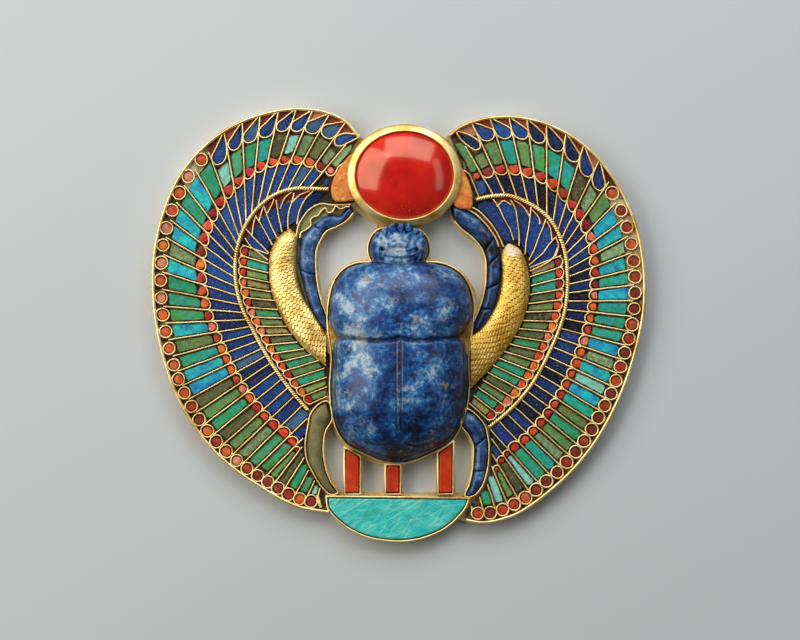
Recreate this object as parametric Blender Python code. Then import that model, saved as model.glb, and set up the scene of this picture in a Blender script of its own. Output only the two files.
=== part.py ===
# Winged scarab pectoral: a gold plate with cell walls, inlaid stones, a domed sun disc and a
# carved lapis scarab. It lies on its back with its front up (+Z), its head end towards +Y.
# Outlines are smooth curves through a few points, in hundredths of the whole width, so SPAN
# rescales them all. Heights and wall sizes are in metres. Neighbours keep GAP between them.
import math

import bmesh
import bpy
import numpy as np
from mathutils import Vector
from mathutils.geometry import delaunay_2d_cdt

SPAN = 0.105          # whole width over both wings

GAP = 0.00012         # clearance between neighbouring pieces
WALL = 0.00055        # cell walls round the large stones
RIB = 0.00034         # cell walls between feathers
RIM_WIDTH = 0.00068   # outer wall that follows the wing
PLATE_TOP = 0.0010    # gold back plate, from 0
STONE_TOP = 0.0026    # feather stones
RIB_FOOT = 0.0028     # tops of the feather walls, over the stones
RIB_TOP = 0.0032
RIM_TOP = 0.0034
CELL_TOP = 0.0034     # walls of the legs, bars, bowl and bezel
LEG_TOP = 0.0038      # stones of the legs and bars
BOWL_TOP = 0.0033
CHEEK_TOP = 0.0044

ROUND = 28            # sides of the ring and the disc
DISC_CENTRE = (1.2, 30.3)
RING_RADII = (0.1164 * SPAN, 0.1036 * SPAN)
DISC_RADII = (0.0976 * SPAN, 0.0866 * SPAN)
RING_TOP = 0.0056
DISC_EDGE = 0.0050
DISC_CREST = 0.0080

BRAID_WIDTH = 0.00092
BRAID_TOP = 0.0038
CRESCENT_EDGE = 0.0030
CRESCENT_CREST = 0.0046

DOT_INSET = 0.0188 * SPAN      # outer dots, from the rim's outer edge
DOT_RADIUS = 0.0105 * SPAN
DOT_DEPTH = 0.0308 * SPAN     # where the dot row ends
DROP_DEPTH = 0.0526 * SPAN    # where the row of drops ends
DROP_COUNT = 9
FEATHER_COUNT = 37
MIDDLE_LAST = 33.5        # the middle dots and the lapis row stop before the hind leg
MIDDLE_HALF = 0.0101 * SPAN
INNER_COUNT = 17
INNER_DOT_DEPTH = 0.0192 * SPAN

# How far along its guide curve each feather starts and ends, and where its middle dot lies
# on the way, read at a few feather numbers.
FEATHER_INDEX = (-1.6, 0, 4, 10, 17, 25, 32, 38)
FIRST = -1.6
WINGS = {
    "left": {
        "rim": [
            (-7.8, 38.3), (-10.2, 41.2), (-14.3, 43.3), (-20, 44.1), (-26.5, 43.3), (-32.5, 41.2),
            (-39, 36.9), (-44.3, 30.8), (-47.9, 22.9), (-49.7, 14.8), (-49.9, 5.1), (-48.3, -5),
            (-44.1, -16.5), (-37.2, -26), (-28.5, -32.7), (-20, -37.1), (-14.3, -38.1)],
        "braid": [
            (-14.3, 27.6), (-17.6, 27.7), (-21.2, 27.7), (-24.8, 26.6), (-28.3, 24), (-31.1, 20.1),
            (-32.7, 15.5), (-33.1, 10.2), (-32.1, 4.7), (-29.3, -1.3), (-25.9, -7.4),
            (-21.7, -13.3), (-18.4, -17.1)],
        "foot": [
            (-18.2, -17.7), (-18.2, -20), (-19.2, -23.2), (-19, -26.2), (-17.8, -29.5),
            (-16.1, -32.1), (-14.9, -33.9)],
        "rim_at": (0.0, 0.062, 0.127, 0.289, 0.504, 0.712, 0.871, 0.99),
        "inner_at": (0.0, 0.03, 0.142, 0.296, 0.444, 0.61, 0.785, 0.975),
        "middle_at": (0.62, 0.74, 0.60, 0.50, 0.53, 0.58, 0.60, 0.60),
        "drop_at": (0.012, 0.263),
        "crescent_out": [
            (-22, 19.7), (-24.2, 18.1), (-25.9, 15.1), (-26.3, 10.8), (-25.2, 4.9), (-22.2, -0.9),
            (-19, -4.8), (-14.7, -8.4)],
        "crescent_in": [
            (-22, 19.7), (-20.6, 18.3), (-20.6, 15.3), (-20.6, 10.8), (-19.4, 6.1), (-16.9, 1.9),
            (-14.7, -1.8)],
        "base": [(-26.3, 14.4), (-26.1, 9.2), (-24, 2.5), (-20, -3.8), (-14.9, -8.4), (-14.3, -14.3)],
        "tips": [(-17.6, 27.4), (-21.2, 27.2), (-24.6, 26), (-27.7, 23.6), (-29.7, 21.3), (-31.3, 18.5)],
        "roots": [
            (-20.6, 20.1), (-22.4, 19.5), (-23.8, 18.5), (-24.8, 17.3), (-25.9, 15.7),
            (-26.3, 14.4)],
    },
    "right": {
        "rim": [
            (10.2, 38.7), (12.4, 40.4), (16.5, 41.9), (22.1, 42.5), (28.6, 41.5), (34.9, 38.7),
            (40.7, 33.9), (45.4, 27.2), (48.6, 19.3), (50, 10.6), (49.9, 3.5), (48, -6),
            (44.2, -16.3), (38.7, -25.6), (31.2, -33.4), (22.1, -39.2), (16.1, -40.2),
            (13.6, -39.7)],
        "braid": [
            (15.7, 25.5), (18.5, 26.1), (22.1, 26.3), (26.6, 24.6), (30.6, 21.5), (33.3, 16.1),
            (34.2, 9.6), (33.5, 2.3), (30.8, -4.8), (26.6, -12.4), (22.3, -17.3), (18.3, -20.6)],
        "foot": [
            (18.3, -21), (18.7, -24.2), (18.7, -27.3), (18.3, -30.3), (17.3, -33.1), (15.6, -35.2),
            (13.6, -37.8)],
        "rim_at": (0.0, 0.05, 0.14, 0.324, 0.522, 0.709, 0.87, 1.0),
        "inner_at": (0.0, 0.02, 0.152, 0.284, 0.415, 0.612, 0.785, 0.975),
        "middle_at": (0.56, 0.68, 0.62, 0.53, 0.61, 0.585, 0.60, 0.60),
        "drop_at": (0.025, 0.291),
        "crescent_out": [
            (22.3, 16.7), (24.4, 15.5), (26, 12.4), (26.6, 8), (25.6, 2.1), (22.1, -4.4),
            (18.3, -9), (14.6, -12.9)],
        "crescent_in": [
            (22.3, 16.7), (20.9, 15.1), (20.9, 11.2), (20.5, 6.8), (18.7, 2.3), (16.5, -0.7),
            (14.6, -2.2)],
        "base": [(26.4, 11.6), (26.6, 7.2), (25.2, 1.5), (21.9, -4.4), (18.3, -8.8), (14.2, -15.7)],
        "tips": [(19.7, 25), (23.1, 25.2), (26.6, 23.8), (29.8, 21.5), (31.8, 18.1), (32.4, 15.3)],
        "roots": [(23.1, 17.1), (24.1, 16.3), (25.4, 14.8), (26.2, 13.4), (26.4, 12.4), (26.6, 11)],
    },
}

# The scarab, row by row from its head: position, left edge, right edge, crest height in mm.
SCARAB_ROWS = (
    (19.6, -1.8, 1.9, 4.4), (18.7, -4.6, 4.5, 5.8), (17.1, -5.6, 5.7, 7.2), (14.8, -5.9, 6, 8.2),
    (12.8, -5.2, 5.1, 8.2), (12.4, -8, 8, 8.8), (11.6, -10.3, 10.4, 9.6), (10.2, -11.9, 12.5, 10.6),
    (7.8, -13.2, 14, 11.8), (4.5, -13.9, 14.9, 12.6), (1.1, -14.1, 14.7, 12.9),
    (-1.5, -13.1, 13.1, 12.2), (-2.6, -12.3, 12.2, 11.4), (-3.4, -13.2, 13.5, 12.2),
    (-6.2, -13.3, 13.8, 13), (-13.1, -13.6, 13.9, 13), (-17.1, -13.3, 13.3, 12.3),
    (-20.6, -12.4, 12.1, 11), (-23.4, -10.7, 10.2, 9.2), (-25.6, -7, 6.3, 6.8), (-27.5, -1.6, 1.3, 4))
SCARAB_FOOT = 0.0032      # height of the upright edge above the plate
# Across the back: share of the width, share of the height above the upright edge.
SCARAB_SECTION = ((0.0, 0.0), (0.07, 0.38), (0.25, 0.8), (0.48, 1.0), (0.5, 0.96), (0.52, 1.0),
                  (0.75, 0.8), (0.93, 0.38), (1.0, 0.0))

LEFT_FORELEG = [
    (-9.7, 24.3), (-11.9, 24), (-13.9, 22.7), (-16.1, 21.1), (-18.2, 19.7), (-19.6, 17.7),
    (-20.2, 15.3), (-20.2, 12.6), (-19.6, 9.8), (-18.8, 6.8), (-17.6, 3.3), (-15.7, 0.1),
    (-14.4, -1.1), (-14.7, 1.7), (-15.7, 4.5), (-16.4, 7.2), (-16.8, 10), (-17, 12.8),
    (-16.8, 15.3), (-15.9, 17.5), (-14.7, 19.2), (-12.7, 20.1), (-10.9, 21.1), (-9.3, 22.9)]
LEFT_FORELEG_JOINTS = ([(-19, 20.9), (-13.9, 17.3)], [(-21.6, 9), (-15.1, 9.3)])
RIGHT_FORELEG = [
    (10.8, 24.5), (13.2, 23.6), (15.2, 22.3), (17.1, 20.7), (18.5, 19.3), (19.7, 17.3),
    (20.5, 14.4), (20.7, 11.2), (20.3, 7.8), (19.5, 4.1), (18.1, 0.7), (16.5, -1.1), (14.8, -2.2),
    (15, -0.3), (16.1, 2.3), (17, 4.7), (17.7, 7.8), (17.9, 10.8), (17.8, 13.2), (16.9, 15.7),
    (15, 17.9), (12.8, 19.7), (11.4, 21.3)]
RIGHT_FORELEG_JOINTS = ([(15, 15.9), (21.3, 19.1)], [(16.1, 12.9), (22.9, 13.4)], [(15.6, 7.4), (22.5, 6.5)],
                        [(13.6, 2.3), (20.5, 1.3)])
LEFT_HIND_LEG = [
    (-14.7, -15.5), (-16.3, -16.3), (-17.6, -17.9), (-18.2, -20.6), (-18.7, -24.2), (-18.4, -27.1),
    (-17.1, -29.9), (-15.3, -32.7), (-13.7, -34.1), (-12.5, -33.9), (-13.7, -32.1), (-14.7, -29.7),
    (-15.3, -26.9), (-15.4, -23.8), (-14.9, -21.2), (-13.7, -19.2)]
RIGHT_HIND_LEG = [
    (13.8, -17.1), (15.9, -18.6), (17.3, -20.4), (18, -23.2), (18.1, -26.4), (17.7, -29.5),
    (16.7, -32.5), (15.2, -34.3), (13.6, -34.5), (14.4, -32.5), (15, -29.9), (15.3, -26.9),
    (15.2, -24), (14.2, -22), (12.8, -20.2)]
RIGHT_HIND_LEG_JOINTS = ([(13.6, -22.6), (19.3, -21.8)], [(13.6, -28.9), (19.3, -28.7)])
LEFT_BAR = [(-10.7, -25.2), (-8, -26.6), (-8, -33.9), (-10.7, -33.9)]
MIDDLE_BAR = [(-2.4, -28.5), (0.1, -28.5), (0.1, -33.9), (-2.4, -33.9)]
RIGHT_BAR = [(8.2, -25.8), (10.8, -24), (10.8, -33.9), (8.2, -33.9)]
BOWL = [
    (-14.3, -34.9), (-14.1, -36.8), (-12.9, -38.4), (-10.9, -40.2), (-8.6, -41.6), (-5.8, -42.7),
    (-3, -43.2), (0.1, -43.4), (2.7, -43.2), (5.5, -42.5), (8, -41.5), (10.2, -40.1), (12, -38.4),
    (13.4, -36.6), (13.9, -35.2)]
LEFT_CHEEK = [
    (-9.7, 34.7), (-11.3, 32.9), (-12.7, 30.8), (-13.6, 28.6), (-13.7, 26.6), (-13.1, 25.2),
    (-10.5, 25), (-8.6, 25.4)]
RIGHT_CHEEK = [
    (12.6, 32.3), (13.6, 30.6), (14.4, 28.8), (14.9, 26.8), (15, 24.8), (14.9, 23.6), (13.6, 23.4),
    (11.2, 24.2), (10.8, 26.2)]

OPENINGS = (
    [
        (-8.6, 23.1), (-6.6, 21.7), (-4.2, 20.5), (-5.6, 17.7), (-6.4, 15.5), (-6.2, 13.6),
        (-9.5, 12.8), (-11.9, 11.4), (-13.7, 9), (-14.7, 6.1), (-15.1, 4.5), (-15.9, 7.6),
        (-16.5, 10.6), (-16.7, 13.4), (-16.1, 16.5), (-14.7, 18.9), (-12.7, 20), (-10.7, 21.1)],
    [
        (10.2, 23.8), (8.8, 22.1), (6.7, 20.9), (4.5, 20.3), (5.7, 17.7), (6.5, 15.7), (6.3, 13.6),
        (10.2, 12.4), (12.8, 11), (14.4, 9.2), (15.6, 6.8), (15.9, 3.7), (16.9, 5.7), (17.7, 8.4),
        (17.9, 11.2), (17.7, 13.6), (16.7, 15.9), (14.8, 17.9), (12.8, 19.5), (11.4, 21.3)],
    [
        (-13.7, -19.2), (-14.7, -21.2), (-15.4, -23.6), (-15.4, -26.4), (-14.7, -29.7),
        (-13.7, -32.1), (-12.5, -33.9), (-11.1, -33.9), (-11.1, -24.8), (-12.3, -23.2),
        (-13.1, -21.2)],
    [
        (12.8, -20.8), (11.6, -22.8), (11.2, -24.2), (11.2, -33.9), (13.8, -33.9), (14.6, -32.1),
        (15.1, -29.7), (15.3, -26.9), (15.2, -24), (14.2, -22)],
    [(-7.6, -27.1), (-5.4, -27.9), (-2.8, -28.6), (-2.8, -33.9), (-7.6, -33.9)],
    [(0.7, -28.5), (3.3, -27.8), (5.9, -26.6), (7.8, -25.6), (7.8, -33.9), (0.7, -33.9)],
)
STRIPS = (
    [
        (-13.1, 24.6), (-15.7, 24.7), (-17.3, 24.2), (-19, 22.7), (-20.2, 21.1), (-20.7, 19.3),
        (-20.2, 18.1), (-19.2, 19.7), (-17.8, 21.3), (-15.9, 22.7), (-13.5, 23.6)],
    [
        (14.4, 24.1), (16.5, 23.1), (18.3, 21.3), (19.9, 19.3), (20.9, 17.3), (21.3, 16.1),
        (20.3, 16.1), (19.5, 17.5), (17.9, 19.5), (16.1, 21.5), (14, 22.7)],
)

GOLD = ("gold", "D9AE5C", 0.3, 1.0)
LAPIS = ("lapis", "244F9E", 0.35, 0.0)
DARK_LAPIS = ("dark_lapis", "152F6E", 0.35, 0.0)
CARNELIAN = ("carnelian", "B83A22", 0.3, 0.0)
DISC_STONE = ("disc_carnelian", "C41E1E", 0.12, 0.0)
BAR_STONE = ("bar_carnelian", "CE3A1C", 0.3, 0.0)
ORANGE_STONE = ("orange_stone", "E08A30", 0.4, 0.0)
TURQUOISE = ("turquoise", "1FB5AE", 0.4, 0.0)
GREEN_STONE = ("green_stone", "2E9E7A", 0.4, 0.0)
OLIVE_PASTE = ("olive_paste", "6A6238", 0.7, 0.0)


def skin(values):
    name, colour, rough, metal = values
    made = bpy.data.materials.get(name)
    if made:
        return made
    made = bpy.data.materials.new(name)
    made.use_nodes = True
    shader = made.node_tree.nodes["Principled BSDF"]
    levels = [int(colour[i:i + 2], 16) / 255 for i in (0, 2, 4)]
    levels = [v / 12.92 if v < 0.04045 else ((v + 0.055) / 1.055) ** 2.4 for v in levels]
    shader.inputs["Base Color"].default_value = (*levels, 1)
    shader.inputs["Roughness"].default_value = rough
    shader.inputs["Metallic"].default_value = metal
    made.diffuse_color = (*levels, 1)
    return made


def place(points):
    return np.array(points, float) * SPAN / 100


def smooth(points, count, closed=False):
    # a smooth curve through the points
    known = place(points)
    if closed:
        known = np.vstack([known[-1:], known, known[:2]])
    reach = np.concatenate([[0], np.cumsum(np.hypot(*np.diff(known, axis=0).T))])
    slope = np.gradient(known, reach, axis=0)
    first, last = (reach[1], reach[-2]) if closed else (reach[0], reach[-1])
    at = np.linspace(first, last, count, endpoint=not closed)
    i = np.clip(np.searchsorted(reach, at, side="right") - 1, 0, len(known) - 2)
    gap = (reach[i + 1] - reach[i])[:, None]
    u = ((at - reach[i]) / gap[:, 0])[:, None]
    return ((2 * u**3 - 3 * u**2 + 1) * known[i] + (u**3 - 2 * u**2 + u) * gap * slope[i]
            + (3 * u**2 - 2 * u**3) * known[i + 1] + (u**3 - u**2) * gap * slope[i + 1])


def along(line, share):
    # points at the given shares of a line's length
    reach = np.concatenate([[0], np.cumsum(np.hypot(*np.diff(line, axis=0).T))])
    at = np.clip(share, 0, 1) * reach[-1]
    return np.stack([np.interp(at, reach, line[:, 0]), np.interp(at, reach, line[:, 1])], axis=-1)


def beside(line, distance):
    # a line moved to the right of its direction of travel
    run = np.gradient(line, axis=0)
    run /= np.hypot(*run.T)[:, None]
    return line + distance * np.stack([run[:, 1], -run[:, 0]], axis=1)


def grow(outline, distance):
    # a closed outline moved outwards
    x, y = outline.T
    turn = np.sign(np.sum(x * np.roll(y, -1) - np.roll(x, -1) * y))
    run = np.roll(outline, -1, axis=0) - outline
    run /= np.hypot(*run.T)[:, None]
    out = turn * np.stack([run[:, 1], -run[:, 0]], axis=1)
    corner = out + np.roll(out, 1, axis=0)
    return outline + distance * 2 * corner / np.maximum((corner**2).sum(axis=1), 0.9)[:, None]


def oval(centre, radii, count):
    turn = np.arange(count) * 2 * math.pi / count
    return place([centre])[0] + np.stack([radii[0] * np.cos(turn), radii[1] * np.sin(turn)], axis=1)


def inside(outline, points):
    # whether the outline winds round each point
    x, y = points.T
    turns = np.zeros(len(points), int)
    for (ax, ay), (bx, by) in zip(outline, np.roll(outline, -1, axis=0)):
        left = (bx - ax) * (y - ay) - (x - ax) * (by - ay)
        turns += ((ay <= y) & (by > y) & (left > 0)).astype(int) - ((by <= y) & (ay > y) & (left < 0))
    return turns != 0


def triangulate(points, edges, steps):
    # triangles of the area that the steps leave: each adds or cuts an outline, and the last one wins
    found = delaunay_2d_cdt([Vector(p) for p in points], edges, [], 0, 1e-3)
    spots = np.array([tuple(v) for v in found[0]])
    faces = np.array(found[2])
    middle = spots[faces].mean(axis=1)
    keep = np.zeros(len(faces), bool)
    for add, outline in steps:
        keep[inside(outline * 1000, middle)] = add
    return spots, faces[keep]


def border(faces):
    # edges with a triangle on one side only, in the direction of that triangle
    edges = {}
    for face in faces.tolist():
        for a, b in zip(face, face[1:] + face[:1]):
            if (b, a) in edges:
                del edges[(b, a)]
            else:
                edges[(a, b)] = True
    return list(edges)


def loops(spots, edges):
    # the border as closed loops, without the points that lie on a straight run
    ahead = {}
    for a, b in edges:
        ahead.setdefault(a, []).append(b)
    shared = {a for a, ends in ahead.items() if len(ends) > 1}
    found = []
    while ahead:
        start = next((a for a in ahead if a not in shared), next(iter(ahead)))
        before, here, ring = start, follow(spots, ahead, None, start), [spots[start]]
        while here != start:
            after = follow(spots, ahead, before, here)
            ring.append(apart(spots, before, here, after) if here in shared else spots[here])
            before, here = here, after
        found.append(straighten(ring))
    return found


def straighten(ring):
    # a loop without the points that lie on a straight run
    kept = [ring[-1]]
    for here, after in zip(ring, ring[1:] + ring[:1]):
        a, b = here - kept[-1], after - kept[-1]
        if abs(a[0] * b[1] - a[1] * b[0]) > 0.002 * np.hypot(*b):
            kept.append(here)
    return np.array(kept[1:])


def follow(spots, ahead, before, here):
    # the next border point; where two corners of the area meet, the one that keeps to this corner
    ends = ahead[here]
    if len(ends) > 1 and before is not None:
        back = spots[before] - spots[here]
        turn = lambda end: (math.atan2(back[1], back[0])
                            - math.atan2(*(spots[end] - spots[here])[::-1])) % (2 * math.pi)
        ends.sort(key=turn, reverse=True)
    end = ends.pop()
    if not ends:
        del ahead[here]
    return end


def apart(spots, before, here, after):
    # a shared corner, drawn back a little into its own part of the area
    a, b = spots[before] - spots[here], spots[after] - spots[here]
    inward = a / np.hypot(*a) + b / np.hypot(*b)
    return spots[here] + 0.004 * inward / max(np.hypot(*inward), 1e-6)


def pieces(faces):
    # triangles grouped into separate areas
    owner, group = {}, list(range(len(faces)))

    def root(i):
        while group[i] != i:
            group[i] = group[group[i]]
            i = group[i]
        return i

    for number, face in enumerate(faces.tolist()):
        for a, b in zip(face, face[1:] + face[:1]):
            other = owner.setdefault((min(a, b), max(a, b)), number)
            group[root(number)] = root(other)
    roots = np.array([root(i) for i in range(len(faces))])
    return [faces[roots == r] for r in np.unique(roots)]


def areas(steps):
    points, edges = [], []
    for _, outline in steps:
        edges += [(len(points) + i, len(points) + (i + 1) % len(outline)) for i in range(len(outline))]
        points += (outline * 1000).tolist()
    spots, faces = triangulate(points, edges, steps)
    done = []
    for part in pieces(faces):
        points, edges = [], []
        rings = [ring for ring in loops(spots, border(part)) if len(ring) > 2]
        if not rings:
            continue
        for ring in rings:
            edges += [(len(points) + i, len(points) + (i + 1) % len(ring)) for i in range(len(ring))]
            points += ring.tolist()
        largest = max(rings, key=lambda ring: np.ptp(ring[:, 0]) * np.ptp(ring[:, 1]))
        own = [(True, largest / 1000)] + [(False, ring / 1000) for ring in rings if ring is not largest]
        done.append(triangulate(points, edges, own))
    size = lambda part: sum(abs(np.cross(part[0][f[1]] - part[0][f[0]], part[0][f[2]] - part[0][f[0]])) for f in part[1])
    return sorted([part for part in done if size(part) > 0.1], key=size, reverse=True)


def finish(name, verts, faces, colour, rounded=False):
    mesh = bpy.data.meshes.new(name)
    mesh.from_pydata([tuple(v) for v in verts], [], [tuple(f) for f in faces])
    mesh.materials.append(skin(colour))
    made = bmesh.new()
    made.from_mesh(mesh)
    bmesh.ops.recalc_face_normals(made, faces=made.faces)
    made.to_mesh(mesh)
    made.free()
    mesh.shade_smooth() if rounded else mesh.shade_flat()
    thing = bpy.data.objects.new(name, mesh)
    bpy.context.scene.collection.objects.link(thing)
    return thing


def slab(name, part, low, high, colour):
    # an area made into a plate between two heights
    spots, faces = part
    used = np.unique(faces)
    number = {int(v): i for i, v in enumerate(used)}
    count = len(used)
    flat = spots[used] / 1000
    verts = np.vstack([np.column_stack([flat, np.full(count, low)]), np.column_stack([flat, np.full(count, high)])])
    solid = []
    for a, b, c in faces.tolist():
        solid.append((number[c], number[b], number[a]))
        solid.append((count + number[a], count + number[b], count + number[c]))
    for a, b in border(faces):
        solid.append((number[a], number[b], count + number[b], count + number[a]))
    return finish(name, verts, solid, colour)


def plate(name, steps, low, high, colour):
    return slab(name, areas(steps)[0], low, high, colour)


def loft(name, rows, colour, closed=False):
    # a solid through rows of points; open ones get flat ends
    count, across = len(rows), len(rows[0])
    faces = []
    for i in range(count if closed else count - 1):
        for j in range(across):
            a, b = i * across, (i + 1) % count * across
            k = (j + 1) % across
            faces.append((a + j, a + k, b + k, b + j))
    if not closed:
        faces += [tuple(range(across))[::-1], tuple((count - 1) * across + j for j in range(across))]
    return finish(name, np.array(rows).reshape(-1, 3), faces, colour, rounded=True)


def swell(left, right, foot, edges, crests, section):
    # rows across a long domed piece, between its two sides
    rows = []
    for a, b, edge, crest in zip(left, right, edges, crests):
        row = [(*a, foot)] + [(*(a + (b - a) * s), edge + (crest - edge) * rise) for s, rise in section]
        rows.append(row + [(*b, foot)])
    return rows


# Outlines shared by several pieces.
RING = oval(DISC_CENTRE, RING_RADII, ROUND)
FOOT = PLATE_TOP + GAP
LEFT_SIDE = place([(row[1], row[0]) for row in SCARAB_ROWS])
RIGHT_SIDE = place([(row[2], row[0]) for row in SCARAB_ROWS])
SCARAB = np.vstack([LEFT_SIDE, RIGHT_SIDE[::-1]])
BODY = np.vstack([LEFT_SIDE[5:], RIGHT_SIDE[5:][::-1]])
LEGS = {
    "left_foreleg": (smooth(LEFT_FORELEG, 23, True), LEFT_FORELEG_JOINTS, LAPIS),
    "right_foreleg": (smooth(RIGHT_FORELEG, 23, True), RIGHT_FORELEG_JOINTS, LAPIS),
    "left_hind_leg": (smooth(LEFT_HIND_LEG, 14, True), (), OLIVE_PASTE),
    "right_hind_leg": (smooth(RIGHT_HIND_LEG, 14, True), RIGHT_HIND_LEG_JOINTS, LAPIS),
}
BARS = {"left_bar": place(LEFT_BAR), "middle_bar": place(MIDDLE_BAR), "right_bar": place(RIGHT_BAR)}
BOWL_OUTLINE = place(BOWL)
CELLS = [BODY, BOWL_OUTLINE] + [leg[0] for leg in LEGS.values()] + list(BARS.values())
CHEEKS = {"left_cheek": smooth(LEFT_CHEEK, 12, True), "right_cheek": smooth(RIGHT_CHEEK, 12, True)}
STRIP_OUTLINES = [place(strip) for strip in STRIPS]
CRESCENTS = [np.vstack([smooth(one["crescent_out"], 10), smooth(one["crescent_in"], 9)[:0:-1]])
             for one in WINGS.values()]
CRESCENT_CUTS = [(False, grow(outline, GAP)) for outline in CRESCENTS]
CENTRE_CUTS = ([(False, grow(cell, WALL + 2 * GAP)) for cell in CELLS] + [(False, grow(RING, GAP))]
               + [(False, grow(strip, GAP)) for strip in STRIP_OUTLINES])


def joint_cut(ends):
    a, b = place(ends)
    side = (b - a)[::-1] * (1, -1) / np.hypot(*(b - a)) * GAP / 2
    return np.array([a - side, b - side, b + side, a + side])


def centre():
    walls = [(True, grow(cell, WALL + GAP)) for cell in CELLS] + [(True, strip) for strip in STRIP_OUTLINES]
    walls += [(False, grow(cell, GAP)) for cell in CELLS]
    walls += [(False, grow(SCARAB, GAP)), (False, grow(RING, GAP))]
    plate("centre_cell_walls", walls + CRESCENT_CUTS, FOOT, CELL_TOP, GOLD)
    for name, (outline, joints, colour) in LEGS.items():
        steps = [(True, outline), (False, grow(RING, GAP)), (False, grow(BODY, WALL + 2 * GAP))] + CRESCENT_CUTS
        stones = areas(steps + [(False, joint_cut(ends)) for ends in joints])
        stones.sort(key=lambda part: -part[0][:, 1].mean())
        for number, part in enumerate(stones, 1):
            slab(f"{name}_stone_{number}" if joints else name, part, FOOT, LEG_TOP, colour)
    for name, outline in BARS.items():
        plate(name, [(True, outline), (False, grow(BODY, WALL + 2 * GAP))], FOOT, LEG_TOP, BAR_STONE)
    plate("bowl", [(True, BOWL_OUTLINE)], FOOT, BOWL_TOP, TURQUOISE)
    for name, outline in CHEEKS.items():
        plate(name, [(True, outline)] + CENTRE_CUTS, FOOT, CHEEK_TOP, ORANGE_STONE)


def disc():
    outer, inner = RING, oval(DISC_CENTRE, DISC_RADII, ROUND)
    inner_wall = grow(inner, GAP)
    shares = ((0, FOOT), (0, 0.0040), (0.62, RING_TOP), (1, DISC_EDGE + 0.0002), (1, FOOT))
    loft("disc_ring", [[(*(a + (b - a) * s), z) for s, z in shares] for a, b in zip(outer, inner_wall)],
         GOLD, closed=True)
    levels = ((1.0, FOOT), (1.0, DISC_EDGE), (0.86, 0.58), (0.5, 0.92))
    middle = place([DISC_CENTRE])[0]
    verts, faces = [], []
    for share, rise in levels:
        height = rise if rise < 0.1 else DISC_EDGE + (DISC_CREST - DISC_EDGE) * rise
        verts += [(*(middle + (p - middle) * share), height) for p in inner]
    for level in range(len(levels) - 1):
        for i in range(ROUND):
            j = (i + 1) % ROUND
            faces.append((level * ROUND + i, level * ROUND + j, level * ROUND + ROUND + j, level * ROUND + ROUND + i))
    verts.append((*middle, DISC_CREST))
    top = (len(levels) - 1) * ROUND
    faces += [tuple(range(ROUND))[::-1]] + [(top + i, top + (i + 1) % ROUND, len(verts) - 1) for i in range(ROUND)]
    finish("sun_disc", verts, faces, DISC_STONE, rounded=True)


def scarab():
    crests = [row[3] / 1000 for row in SCARAB_ROWS]
    edges = [min(PLATE_TOP + SCARAB_FOOT, crest - 0.0012) for crest in crests]
    loft("scarab", swell(LEFT_SIDE, RIGHT_SIDE, FOOT, edges, crests, SCARAB_SECTION), LAPIS)


class Wing:
    # one wing: where its feathers run, from the rim to the braid or the hind leg
    def __init__(self, side):
        values = WINGS[side]
        self.side, self.values = side, values
        self.right_hand = 1 if side == "right" else -1
        self.rim = smooth(values["rim"], RIM_POINTS)
        self.braid = smooth(values["braid"], BRAID_POINTS)
        self.inner = np.vstack([self.braid, smooth(values["foot"], 12)])
        self.base = smooth(values["base"], 24)

    def reads(self, key, feather):
        return np.interp(feather, FEATHER_INDEX, self.values[key])

    def ends(self, feather):
        return along(self.rim, self.reads("rim_at", feather)), along(self.inner, self.reads("inner_at", feather))

    def spot(self, feather, depth=0.0, share=None, back=0.0):
        # a point on a feather: at a depth below the rim, or at a share of the way, less a length
        outer, inner = self.ends(feather)
        length = np.hypot(*(inner - outer))
        if share is None:
            return outer + (inner - outer) * depth / length
        return outer + (inner - outer) * (share - back / length)

    def middle(self, feather):
        return self.reads("middle_at", feather)

    def band(self, first, last, outer, inner, step=3.3):
        # outline of a row of stones, between two functions of the feather number
        marks = [first] + [m for m in feather_marks(step) if first < m < last] + [last]
        return np.array([outer(f) for f in marks] + [inner(f) for f in marks[::-1]])

    def inner_spot(self, number, share):
        # a point on one of the inner cells, from the crescent to the braid
        place_at = (number + 0.5) / INNER_COUNT
        foot = along(self.base, place_at)
        first, last = INNER_BRAID_SHARES[self.side]
        return foot + (along(self.braid, first + (last - first) * place_at) - foot) * share


def feather_marks(step):
    # neighbouring rows bend at the same feathers, so they keep clear of each other
    return sorted({*np.arange(0, FEATHER_COUNT, step).tolist(), DROP_COUNT + 0.4, DROP_COUNT + 0.6, MIDDLE_LAST})


RIM_POINTS = 28
BRAID_POINTS = 18
INNER_BRAID_SHARES = {"left": (0.385, 0.985), "right": (0.375, 0.985)}
BRAID_SECTION = ((0.0, 0.0), (0.5, 1.0), (1.0, 0.0))
CRESCENT_SECTION = ((0.0, 0.0), (0.25, 0.72), (0.5, 1.0), (0.75, 0.72), (1.0, 0.0))


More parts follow.
